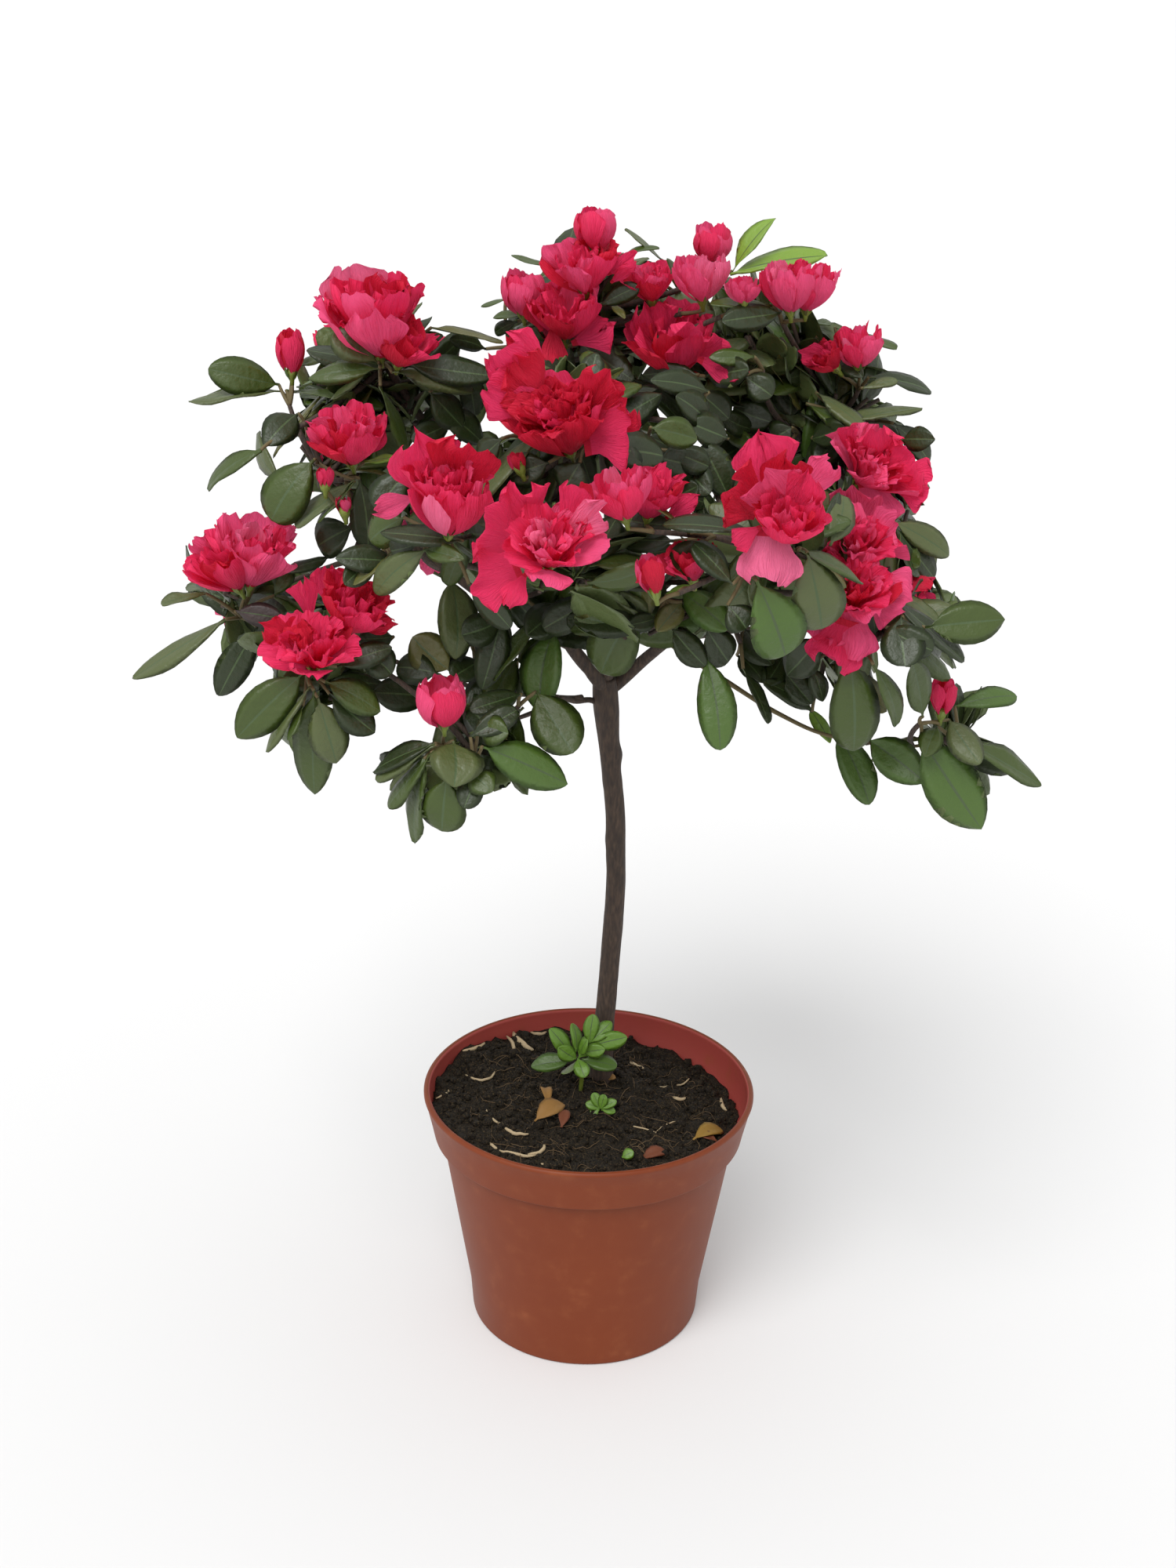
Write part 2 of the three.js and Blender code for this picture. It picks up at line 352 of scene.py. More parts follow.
# %% [markdown]
# ## Plastic of the pot
#
# A nursery pot is thin polypropylene with terracotta-coloured pigment. It is satin, not glossy: the
# mould leaves a faint grain, handling leaves paler scuffs, and splashed peat dust dulls it low down and
# under the collar. Three noises at three scales give a broad paler and darker mottle, the scuffs and
# the grain, the same all over the pot; only the colour, roughness and a very shallow bump vary.

# %% Pot plastic
PIGMENT = (106, 42, 11)
FADED = (121, 52, 16)
SCUFFED = (138, 74, 38)
# Painted light: the inside wall's pigment is lighter and redder than the outside's. It stands in for
# daylight that shines through the thin plastic.
LIT_THROUGH_PIGMENT = (150, 58, 52)
LIT_THROUGH_FADED = (164, 72, 64)
MOULD_GRAIN_M = 0.00006


def pot_plastic(name, pigment, faded):
    """Terracotta pigment a little darker and lighter by broad noise, paled where fine noise peaks
    into scuffs, with a mould-grain bump."""
    finish = Finish(name)
    broad = finish.noise(16.0, 2.0)
    scuff = finish.noise(120.0, 5.0) ** 7.0 * 3.0
    grain = finish.noise(2600.0, 2.0)
    body = finish.blend(broad, linear(*pigment), linear(*faded))
    colour = finish.blend(scuff, body, linear(*SCUFFED))
    normal = finish.bump(grain, MOULD_GRAIN_M, 0.6)
    return finish.done(finish.surface(colour, 0.4 + 0.2 * broad, Normal=normal, Specular_IOR_Level=0.3))


pot_finish = pot_plastic("pot_plastic", PIGMENT, FADED)
# Painted light: the inside takes the lighter, redder pigment, for daylight shining through the wall.
lit_through_finish = pot_plastic("pot_plastic_lit_through", LIT_THROUGH_PIGMENT, LIT_THROUGH_FADED)

# %% [markdown]
# ## The pot
#
# A pot is thrown or moulded round an axis, so it is one profile carried round in a circle. Blender's
# Screw modifier would do it; here the profile is a short list of radius and height pairs with small
# arcs at the lip and the heel, and the circle is the second parameter of the grid. The wall returns
# inside down to the pot's floor, so the shell is closed and has its real thickness. The bands of faces
# inside are painted lighter and redder: painted light, for daylight shining through the thin wall.

# %% Pot profile
POT = {
    "height": 105.8,
    "rim": 69.2,
    "collar_height": 18.5,
    "collar_foot": 65.0,
    "body_top": 61.7,
    "body_foot": 49.8,
    "heel_height": 14.0,
    "heel": 48.8,
    "heel_round": 1.2,
    "foot_ring": 4.0,
    "foot_rise": 0.9,
    "step_round": 0.6,
    "wall": 1.4,
    "floor": 2.4,
    "lip": 1.3,
}
POT_AROUND = 160
POT_CREASE = 40
COLLAR_LOW = POT["height"] - POT["collar_height"]
COLLAR_SLOPE = (POT["rim"] - POT["collar_foot"]) / POT["collar_height"]


def collar_radius(rise):
    """The collar's outer radius at a rise above its own foot."""
    return POT["collar_foot"] + COLLAR_SLOPE * rise


def arc(centre, radius, start, end, steps):
    """Points of a circle's arc in the profile plane, from one angle to another in degrees."""
    turn = np.radians(np.linspace(start, end, steps))
    return np.stack([centre[0] + radius * np.cos(turn), centre[1] + radius * np.sin(turn)], -1)


def pot_profile():
    """Radius and height from the middle of the underside, round the heel, up the tapering body, over
    the step to the flared collar, round the rolled lip, and back down inside to the floor."""
    top, wall, rise = POT["height"], POT["wall"], POT["foot_rise"]
    ring = POT["heel"] - POT["foot_ring"]
    foot_ring = [(0.0, rise), (ring - POT["step_round"], rise), (ring, 0.0)]
    round_it = POT["heel_round"]
    heel = arc((POT["heel"] - round_it, round_it), round_it, -90, 0, 5)
    body = [(POT["body_foot"], POT["heel_height"]), (POT["body_top"], COLLAR_LOW - 1.4)]
    step = arc((POT["collar_foot"] - 0.5, COLLAR_LOW - 0.1), POT["step_round"], -80, 0, 4)
    flare = [(collar_radius(h), COLLAR_LOW + h) for h in (5.0, 10.0, 16.0)]
    lip = arc((POT["rim"] - POT["lip"], top - POT["lip"]), POT["lip"], -10, 190, 10)
    inside = [(collar_radius(h) - wall, COLLAR_LOW + h) for h in (12, 3)]
    inside += [
        (POT["body_top"] - wall, COLLAR_LOW - 2),
        (POT["body_foot"] - wall, POT["heel_height"]),
        (POT["heel"] - wall - 1.0, POT["floor"]),
        (0.0, POT["floor"]),
    ]
    return np.concatenate([foot_ring, heel, body, step, flare, lip, inside])


def turned(profile, around):
    """A profile carried round the upright axis: each radius becomes a ring, and a radius of nought
    stays one pole point at the end of the list."""
    turn = np.arange(around) * 2 * math.pi / around
    rings = profile[1:-1]
    spin = np.stack([np.cos(turn), np.sin(turn)], -1)
    flat = rings[:, 0, None, None] * spin[None]
    height = np.broadcast_to(rings[:, 1, None, None], (len(rings), around, 1))
    points = np.concatenate([flat, height], -1).reshape(-1, 3)
    poles = np.array([[0, 0, profile[0, 1]], [0, 0, profile[-1, 1]]])
    fours = grid_fours(len(rings), around, round_shut=True)[:, ::-1]
    threes = cap_threes(len(rings), around)[:, ::-1]
    return np.concatenate([points, poles]), fours, threes


INSIDE_RINGS = 8
pot_points, pot_fours, pot_threes = turned(pot_profile(), POT_AROUND)
pot_bands = len(pot_fours) // POT_AROUND
# Painted light: the bands inside the pot, and its inner floor, take the lit-through colour.
lit_through_bands = np.arange(pot_bands) >= pot_bands - INSIDE_RINGS
pot_picks = np.concatenate([lit_through_bands, [False, True]]).repeat(POT_AROUND).astype(int)
pot_looks = [pot_finish, lit_through_finish]
pot = mesh_piece("pot_shell", pot_points, pot_fours, pot_threes, pot_looks, pot_picks, crease=POT_CREASE)
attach(pot, "root")
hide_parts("pot")

# %% [markdown]
# ## Peat
#
# The pot is filled with dark peat compost, heaped a little round the stem and lumpy, with a gap of a
# finger's width below the rim for watering. Its surface is a disc whose height is the heap plus three
# scales of smooth noise. Loose crumbs, pale root fibres and fallen bits lie on it; those are real
# pieces, because their shadows are what make soil look like soil.

# %% Peat finish
def peat_finish():
    """Near-black brown, browner on crumbs by noise, quite rough, with a strong crumb bump."""
    finish = Finish("peat")
    crumbs = finish.noise(420.0, 6.0)
    specks = finish.noise(1500.0, 2.0) ** 6.0 * 8.0
    dark = finish.blend(crumbs, linear(2, 2, 1), linear(23, 18, 11))
    colour = finish.blend(specks, dark, linear(74, 60, 38))
    normal = finish.bump(crumbs, 0.0024, 1.0)
    return finish.done(finish.surface(colour, 0.7 + 0.2 * crumbs, Normal=normal, Specular_IOR_Level=0.25))


def plain_finish(name, colour, roughness, bump_scale, bump_depth):
    """One base colour, with roughness and a shallow bump from noise."""
    finish = Finish(name)
    grain = finish.noise(bump_scale, 3.0)
    rough = roughness - 0.08 + 0.16 * grain
    normal = finish.bump(grain, bump_depth, 0.6)
    return finish.done(finish.surface(colour, rough, Normal=normal))


peat = peat_finish()
fibre_finish = plain_finish("root_fibre", linear(96, 76, 50), 0.8, 900.0, 0.0002)
husk_finish = plain_finish("pale_husk", linear(176, 156, 122), 0.7, 900.0, 0.0002)
dead_leaf_finish = plain_finish("dead_leaf", linear(138, 100, 46), 0.7, 500.0, 0.0004)
yellow_leaf_finish = plain_finish("yellowed_leaf", linear(136, 104, 34), 0.65, 500.0, 0.0004)
rust_leaf_finish = plain_finish("rust_leaf", linear(104, 52, 24), 0.7, 500.0, 0.0004)

# %% Peat surface
PEAT = {
    "level": 95.0,
    "heap": 5.5,
    "heap_wide": 26.0,
    "fall": 0.07,
    "rings": 60,
    "around": 170,
    "foot": 3.2,
}
# Each scale of lumps: height and width in mm, and how far it is shifted on the noise.
LUMPS = ((1.5, 17, 9, 0), (1.7, 6, 3, 8), (1.2, 2.3, 0, 5))
STEM_FOOT = np.array([5.0, 19.0])


def peat_height(x, y):
    """Level, plus a bell-shaped heap round the stem, plus broad, middling and fine lumps."""
    from_stem = np.hypot(x - STEM_FOOT[0], y - STEM_FOOT[1])
    height = PEAT["level"] + PEAT["heap"] * np.exp(-((from_stem / PEAT["heap_wide"]) ** 2))
    height = height - PEAT["fall"] * x
    for lump, wide, along, aside in LUMPS:
        height = height + lump * wander(x / wide + along, y / wide + aside)
    return height


def inside_wall(height):
    """Radius of the pot's inner face at a height, by its two straight slopes."""
    marks = [POT["heel_height"], COLLAR_LOW - 2, COLLAR_LOW + 3, POT["height"]]
    radii = [POT["body_foot"], POT["body_top"], collar_radius(3), POT["rim"]]
    return np.interp(height, marks, radii) - POT["wall"]


def peat_surface():
    """Rings from the middle outwards on the lumpy surface, then down the wall to the pot's floor."""
    turn = np.arange(PEAT["around"]) * 2 * math.pi / PEAT["around"]
    spread = PEAT["fall"] * float(inside_wall(PEAT["level"]))
    edge = inside_wall(PEAT["level"] - spread * np.cos(turn))
    edge = inside_wall(peat_height(edge * np.cos(turn), edge * np.sin(turn))) - 0.1
    shares = np.linspace(0, 1, PEAT["rings"] + 1)[1:]
    radius = edge * shares[:, None]
    x, y = radius * np.cos(turn), radius * np.sin(turn)
    top = np.stack([x, y, peat_height(x, y)], -1)
    spin = np.stack([np.cos(turn), np.sin(turn)], -1)
    below = [(inside_wall(h) - 0.3, h) for h in (COLLAR_LOW - 2, 50.0, 16.0)]
    below.append((POT["heel"] - PEAT["foot"], PEAT["foot"]))
    skirt = [np.column_stack([r * spin, np.full(len(turn), h)])[None] for r, h in below]
    rings = np.concatenate([top, *skirt])
    poles = np.array([[0, 0, peat_height(np.zeros(1), np.zeros(1))[0]], [0, 0, PEAT["foot"]]])
    points = np.concatenate([rings.reshape(-1, 3), poles])
    fours = grid_fours(len(rings), len(turn), round_shut=True)
    return points, fours, cap_threes(len(rings), len(turn))


peat_body = mesh_piece("peat_surface", *peat_surface(), [peat])
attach(peat_body, "root")
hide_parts("soil")

# %% [markdown]
# ## Tubes
#
# Stem, boughs, twigs, flower stalks and root fibres are all the same idea: a circle carried along a
# path while its radius changes. A curve object with a bevel would draw one; for hundreds it is quicker
# to work out all of them together, as an array of paths by rings by sides.

# %% Many tubes at once
def ring_frames(paths):
    """Two directions across each path at each ring: a fixed slanting direction with its part along
    the path taken off, and the one square to both."""
    along = unit(np.gradient(paths, axis=1))
    slant = np.array([0.31, 0.87, 0.38])
    first = slant - (along @ slant)[..., None] * along
    first = unit(first)
    return first, np.cross(along, first)


def tubes(paths, radii, sides):
    """Paths (copies, rings, 3) and radii (copies, rings) as closed round tubes with pole points."""
    first, second = ring_frames(paths)
    turn = np.arange(sides) * 2 * math.pi / sides
    ring = first[:, :, None] * np.cos(turn)[:, None] + second[:, :, None] * np.sin(turn)[:, None]
    skin = paths[:, :, None] + ring * np.asarray(radii)[:, :, None, None]
    copies, rings = paths.shape[:2]
    body = skin.reshape(copies, -1, 3)
    points = np.concatenate([body, paths[:, :1], paths[:, -1:]], 1).reshape(-1, 3)
    each = rings * sides + 2
    fours = copied(grid_fours(rings, sides, round_shut=True)[:, ::-1], copies, each)
    return points, fours, copied(cap_threes(rings, sides)[:, ::-1], copies, each)


def bent(starts, bends, ends, rings):
    """Smooth paths from starts to ends that pass near the bends: a quadratic curve in the share of
    the way."""
    share = np.linspace(0, 1, rings)[None, :, None]
    starts, bends, ends = (np.asarray(p, float)[:, None] for p in (starts, bends, ends))
    return (1 - share) ** 2 * starts + 2 * share * (1 - share) * bends + share**2 * ends


# %% Crumbs, fibres and husks
CRUMBS = 2200
FIBRES = 130
# Each pale husk: its two ends on the view, thickness and sideways bow in mm.
HUSKS = [
    (590, 1340, 618, 1334, 1.0, 1.5), (646, 1327, 655, 1345, 0.8, -1.5), (655, 1321, 680, 1344, 1.3, 2.0),
    (677, 1317, 697, 1313, 0.8, 2.0), (594, 1367, 633, 1363, 0.6, 6.0), (804, 1356, 821, 1364, 0.9, 0.8),
    (857, 1402, 874, 1408, 0.8, 1.0), (920, 1404, 927, 1416, 0.9, 1.0), (640, 1437, 674, 1447, 0.8, 3.0),
    (673, 1471, 692, 1457, 0.8, 3.5), (637, 1468, 684, 1476, 0.7, 1.6), (625, 1458, 634, 1467, 0.8, 0.5),
    (621, 1418, 642, 1436, 0.6, 2.5), (790, 1440, 835, 1448, 0.35, -2.0),
    (835, 1448, 862, 1432, 0.35, -1.0), (556, 1404, 572, 1385, 0.5, 2.0),
    (690, 1484, 712, 1486, 0.6, 1.0), (840, 1385, 880, 1378, 0.4, 3.0),
]


def on_peat(count, chance, reach=0.97):
    """Seeded places on the peat, spread evenly over its disc."""
    radius = float(inside_wall(PEAT["level"])) * reach * np.sqrt(chance.uniform(0, 1, count))
    turn = chance.uniform(0, 2 * math.pi, count)
    x, y = radius * np.cos(turn), radius * np.sin(turn)
    return np.stack([x, y, peat_height(x, y)], -1)


def on_peat_seen(across, down):
    """The sight line's meeting with the peat: level first, then three times corrected by the lumps."""
    line = sight_lines(across, down)
    height = PEAT["level"]
    for _ in range(4):
        place = EYE + line * ((height - EYE[2]) / line[2])
        height = float(peat_height(place[0], place[1]))
    return place


def crumbs(chance):
    """Each crumb is a short fat tube of four rings, squashed and turned its own way."""
    middle = on_peat(CRUMBS, chance)
    size = 0.45 + 2.1 * chance.uniform(0, 1, CRUMBS) ** 2.6
    lie = unit(chance.normal(0, 1, (CRUMBS, 3)) * [1, 1, 0.5])
    share = np.array([-0.8, -0.35, 0.35, 0.8])
    paths = middle[:, None] + lie[:, None] * (share[:, None] * size[:, None, None])
    paths[..., 2] += 0.2
    radii = size[:, None] * np.array([0.45, 0.9, 0.85, 0.4]) * chance.uniform(0.6, 1.1, (CRUMBS, 4))
    return tubes(paths, radii, 5)


def strands(count, length, thick, arch, chance):
    """Thin tubes lying on the peat: a walk whose heading drifts, with its ends on the surface and its
    middle arched a little clear."""
    rings = 12
    heading = chance.uniform(0, 2 * math.pi, count)[:, None]
    bow = chance.normal(0, 0.16, (count, 1)) * np.arange(rings)
    drift = chance.normal(0, 0.16, (count, rings)).cumsum(1) + bow
    step = length * chance.uniform(0.5, 1.2, (count, 1)) / rings
    walk = np.stack([np.cos(heading + drift) * step, np.sin(heading + drift) * step], -1).cumsum(1)
    place = on_peat(count, chance, 0.8)[:, None, :2] + walk - walk.mean(1, keepdims=True)
    edge = float(inside_wall(PEAT["level"])) - 1.5
    place = place * np.minimum(1, edge / np.maximum(np.linalg.norm(place, axis=-1, keepdims=True), 1))
    lift = arch * np.sin(np.linspace(0, math.pi, rings)) * chance.uniform(0.3, 1, (count, 1))
    height = peat_height(place[..., 0], place[..., 1]) + 0.35 + lift
    paths = np.concatenate([place, height[..., None]], -1)
    radii = thick * chance.uniform(0.6, 1.2, (count, 1)) * (1 - 0.5 * np.linspace(-1, 1, rings) ** 2)
    return tubes(paths, radii, 5)


def husks():
    """Husks planned on the view: their ends lie on the peat, and the middle bows aside and lifts."""
    plan = np.array(HUSKS)
    first = np.array([on_peat_seen(*row[:2]) for row in plan])
    last = np.array([on_peat_seen(*row[2:4]) for row in plan])
    aside = unit(np.cross(last - first, UP)) * plan[:, 5:6]
    rings = 10
    paths = bent(first, (first + last) / 2 + 2 * aside, last, rings)
    under = peat_height(paths[..., 0], paths[..., 1])
    level = (2 * under.mean(1, keepdims=True) + under.max(1, keepdims=True)) / 3
    paths[..., 2] = 0.35 * under + 0.65 * level + plan[:, 4:5] * 0.4
    girth = np.sqrt(1 - np.linspace(-0.9, 0.9, rings) ** 2)
    return tubes(paths, plan[:, 4:5] * girth, 7)


peat_chance = np.random.default_rng(7)
for name, shape, look in (
    ("peat_crumbs", crumbs(peat_chance), peat),
    ("root_fibres", strands(FIBRES, 17.0, 0.14, 1.2, peat_chance), fibre_finish),
    ("pale_husks", husks(), husk_finish),
):
    litter = mesh_piece(name, *shape, [look])
    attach(litter, "root")

# %% [markdown]
# ## Stem and boughs
#
# The stem rises from behind the middle of the pot, bows to the right and leans forward to its fork. Its
# bark is thin and grey-brown, with shallow cracks that run up it, low swellings where old shoots were
# cut off, and a flared foot. A displaced mesh shows those in outline as well as in shade. The boughs
# follow the frame's limbs: each leaves the stem or another bough, bends once and ends in its mass.

# %% Bark finish
def bark_finish():
    """Grey-brown with darker cracks: noise stretched along the stem drives colour, roughness, bump."""
    finish = Finish("bark")
    place = finish.wire("ShaderNodeTexCoord", "Object")
    stretched = finish.wire("ShaderNodeMapping", 0, Vector=place, Scale=(1.0, 1.0, 0.22))
    cracks = finish.noise(900.0, 5.0, stretched)
    patches = finish.noise(90.0, 3.0)
    ground = finish.blend(patches, linear(72, 58, 50), linear(104, 84, 68))
    colour = finish.blend(cracks ** 2.0 * 1.6, linear(34, 27, 24), ground)
    normal = finish.bump(cracks, 0.0006, 0.8)
    return finish.done(finish.surface(colour, 0.7 + 0.2 * cracks, Normal=normal))


bark = bark_finish()
green_wood = plain_finish("young_wood", linear(96, 84, 52), 0.7, 700.0, 0.0003)

# %% Stem
STEM_POINTS = np.array(
    [[5, 19, 88], [5.5, 18, 115], [7.5, 15, 150], [9.6, 12, 190], [8.6, 8, 226], [5, 5, 260], [2.8, 3, 285]]
)
STEM_RADIUS = 4.1
STEM_RINGS = 150
STEM_SIDES = 36
STEM_LOW = 88
STEM_LONG = 197
PEAT_AT_STEM = 90
# Each knot: its height in mm, the way it faces in radians, and how far it stands out in mm.
KNOTS = ((128, 0.8, 0.5), (171, 3.9, 0.6), (214, 2.4, 0.5), (252, 5.2, 0.9))
KNOT_WIDE = 3.0
KNOT_HIGH = 3.4
FLARE = 2.8
FORK_SWELL = 1.2
CRACKS = 0.16


def smooth_path(points, rings):
    """A path through all the points, each coordinate a gently smoothed run along the length."""
    marks = np.linspace(0, 1, len(points))
    fine = np.linspace(0, 1, rings)
    path = np.stack([np.interp(fine, marks, points[:, k]) for k in range(3)], -1)
    window = max(3, rings // len(points))
    padded = np.concatenate([np.repeat(path[:1], window, 0), path, np.repeat(path[-1:], window, 0)])
    kernel = np.hanning(window + 2)[1:-1]
    kernel = kernel / kernel.sum()
    blurred = np.stack([np.convolve(padded[:, k], kernel, "same") for k in range(3)], -1)[window:-window]
    near_end = np.minimum(np.arange(rings), np.arange(rings)[::-1]) / window
    share = np.clip(near_end, 0, 1)[:, None]
    return path * (1 - share) + blurred * share


def stem_skin():
    """Radius at each height and turn: taper, flared foot with root ridges, a fuller fork, cut-shoot
    knots as bumps round a point, and cracks from noise stretched up the stem."""
    path = smooth_path(STEM_POINTS, STEM_RINGS)[None]
    height = path[0, :, 2][:, None]
    turn = (np.arange(STEM_SIDES) * 2 * math.pi / STEM_SIDES)[None]
    share = (height - STEM_LOW) / STEM_LONG
    above = (height - PEAT_AT_STEM).clip(0)
    ridges = 1 + 0.35 * np.sin(5 * turn + 0.6) * np.exp(-above / 9)
    fork = FORK_SWELL * np.exp(-(((share - 0.95) / 0.07) ** 2))
    radius = STEM_RADIUS - 0.25 * share + FLARE * np.exp(-above / 12) * ridges + fork
    for level, facing, size in KNOTS:
        off = np.abs((turn - facing + math.pi) % (2 * math.pi) - math.pi)
        bump = -((off * STEM_RADIUS / KNOT_WIDE) ** 2) - ((height - level) / KNOT_HIGH) ** 2
        radius = radius + size * np.exp(bump)
    cracks = wander(turn * 5.1 + 4, height / 11) + 0.6 * wander(turn * 10.2, height / 5 + 7)
    radius = radius + CRACKS * cracks
    first, second = ring_frames(path)
    ring = first[0][:, None] * np.cos(turn)[..., None] + second[0][:, None] * np.sin(turn)[..., None]
    skin = path[0][:, None] + ring * radius[..., None]
    points = np.concatenate([skin.reshape(-1, 3), path[0, :1], path[0, -1:]])
    fours = grid_fours(STEM_RINGS, STEM_SIDES, round_shut=True)[:, ::-1]
    return points, fours, cap_threes(STEM_RINGS, STEM_SIDES)[:, ::-1]


stem = mesh_piece("stem_bark", *stem_skin(), [bark])
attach(stem, "root")
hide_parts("stem")

# %% Boughs
# Each bough: where it leaves the stem, as a height, or its parent, as a share of its length; the point
# that it bends through; the mass it ends in; and its radius at the foot in mm.
BOUGHS = {
    "top": (283, (4, -8, 345), "crown_top", 3.2),
    "left": (281, (-20, -10, 318), "upper_left", 3.0),
    "right": (279, (27, -12, 306), "front_right", 2.8),
    "low_left": (271, (-15, -18, 282.5), "bottom_left", 2.0),
    "back": (279, (0, 34, 318), "back_top", 2.8),
    "middle_left": (("left", 0.34), (-56, -24, 334), "middle_left", 2.1),
    "far_left": (("low_left", 0.3), (-60, -36, 298), "far_left", 1.8),
    "centre": (("top", 0.3), (-8, -52, 345), "centre_upper", 2.1),
    "upper_right": (("top", 0.22), (42, -4, 350), "upper_right", 2.2),
    "lower_right": (("right", 0.5), (62, -44, 321), "lower_right", 1.9),
    "arm": (("right", 0.5), (83, -44, 282), "right_arm", 1.7),
    "back_left": (("back", 0.3), (-48, 42, 332), "back_left", 2.2),
    "back_right": (("back", 0.26), (44, 44, 330), "back_right", 2.2),
    "back_middle": (("back", 0.45), (-2, 72, 336), "back_middle", 2.0),
    "side_left": (("back_left", 0.25), (-72, 26, 328), "side_left", 1.8),
    "side_right": (("back_right", 0.2), (70, 28, 314), "side_right", 1.8),
    "low_back_left": (("back_left", 0.3), (-52, 62, 312), "back_low_left", 1.8),
    "low_back_right": (("back_right", 0.3), (52, 70, 310), "back_low_right", 1.8),
}
BOUGH_RINGS = 34
BOUGH_SIDES = 12
BOUGH_CROOK = 1.3
SLIM = {"arm": 0.62, "low_left": 0.68, "far_left": 0.66, "lower_right": 0.8}
GREEN_BOUGHS = ("arm",)


def mass_centre(name):
    """The middle of a foliage mass's box, in millimetres."""
    return MASS_CENTRES[MASS_NAMES.index("foliage_" + name)]


def bough_paths():
    """Each bough as a curve from its stem height, or a share along its parent, through its bend to
    its mass. The control point doubles the bend less the mean of the ends, so the curve meets it."""
    paths = {}
    stem_path = smooth_path(STEM_POINTS, 200)
    for name, (start, bend, mass, _) in BOUGHS.items():
        if isinstance(start, tuple):
            parent = paths[start[0]]
            begin = parent[round(start[1] * (BOUGH_RINGS - 1))]
        else:
            begin = stem_path[np.abs(stem_path[:, 2] - start).argmin()]
        end = mass_centre(mass)
        control = 2 * np.array(bend, float) - (begin + end) / 2
        paths[name] = bent([begin], [control], [end], BOUGH_RINGS)[0]
    return paths


bough_lines = bough_paths()
bough_array = np.stack(list(bough_lines.values()))
ring_marks = np.linspace(0, 1, BOUGH_RINGS)
bough_girth = np.array([row[3] for row in BOUGHS.values()])[:, None] * (1 - 0.5 * ring_marks)
bough_girth = bough_girth * (1 + 0.07 * wander(ring_marks * 23, np.arange(len(BOUGHS))[:, None] * 3.7))
bough_girth = bough_girth * np.array([SLIM.get(name, 1.0) for name in BOUGHS])[:, None]
bough_girth[:, 0] *= 1.15
own_row = np.arange(len(BOUGHS))[:, None] * 1.3
crook = np.stack([wander(ring_marks * 6 + 11 * k, own_row) for k in range(3)], -1)
bough_array = bough_array + BOUGH_CROOK * crook * np.sin(math.pi * ring_marks)[None, :, None]
green = np.array([name in GREEN_BOUGHS for name in BOUGHS], int)
bough_picks = np.concatenate([green.repeat((BOUGH_RINGS - 1) * BOUGH_SIDES), green.repeat(BOUGH_SIDES * 2)])
bough_shape = tubes(bough_array, bough_girth, BOUGH_SIDES)
boughs = mesh_piece("boughs_bark", *bough_shape, [bark, green_wood], bough_picks)
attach(boughs, "root")
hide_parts(*(f"bough_{name}" for name in BOUGHS))

# %% [markdown]
# ## Leaves
#
# An azalea leaf is leathery and oval, broadest past its middle, with a short stalk, a sunk midrib and
# edges that roll under a little. Its upper face is dark and satin, its underside paler. It could be one
# flat card with a picture on it; here it is a thin closed lens, nine points round by eight rings, or
# twelve rings for a leaf at the front, so it keeps its own outline and its underside has its own
# colour. The column of faces along the middle is the midrib. All leaves are one array.

# %% Leaf finishes
LEAF_COLOURS = {
    "dark": linear(34, 46, 15),
    "mid": linear(58, 74, 22),
    "fresh": linear(67, 93, 32),
    "young": linear(112, 144, 46),
    "olive": linear(84, 84, 36),
    # The grey-green tint is a leaf tone lightened as painted sheen, standing in for the sky's reflection on
    # the satin leaves.
    "sheen_grey": linear(76, 86, 46),
    "plum": linear(56, 42, 40),
    "rib": linear(64, 82, 46),
    "under": linear(88, 102, 58),
    "pale": linear(128, 142, 84),
    "sprout": linear(92, 128, 40),
    "cup": linear(108, 122, 44),
}
TINTS = list(LEAF_COLOURS)


def leaf_finish(name, colour):
    """A plain base colour under a satin cuticle, with fine veins as a shallow bump."""
    finish = Finish("leaf_" + name)
    veins = finish.noise(420.0, 4.0)
    return finish.done(finish.surface(colour, 0.34 + 0.2 * veins, Normal=finish.bump(veins, 0.0008, 0.6)))


leaf_looks = [leaf_finish(name, colour) for name, colour in LEAF_COLOURS.items()]

# %% Leaf shape
LEAF_MARKS = np.array([0.0, 0.075, 0.17, 0.33, 0.52, 0.71, 0.87, 0.965])
FINE_MARKS = np.array([0.0, 0.07, 0.12, 0.2, 0.31, 0.44, 0.57, 0.69, 0.79, 0.875, 0.94, 0.98])
LEAF_ROUND = np.array([-1.0, -0.55, -0.05, 0.05, 0.55, 1.0, 0.55, 0.0, -0.55])
LEAF_UNDER = np.array([0, 0, 0, 0, 0, 0, 1, 1, 1])
STALK_SHARE = 0.08
SWELL = 0.72
LEAF_THICK = 0.35
BLADE, RIB, UNDER = 0, 1, 2
COLUMN_KIND = np.array([BLADE, BLADE, RIB, BLADE, BLADE, UNDER, UNDER, UNDER, UNDER])


def blade_width(share, close):
    """Width from stalk to tip as a share of its most: one power swells it from the stalk, and the
    other, close, shuts it roundly when small and to a point when large."""
    blade = np.clip((share - STALK_SHARE) / (1 - STALK_SHARE), 0, 1)
    peak = SWELL / (SWELL + close)
    most = peak**SWELL * (1 - peak) ** close
    return np.where(share > STALK_SHARE, blade**SWELL * (1 - blade) ** close / most, 0)


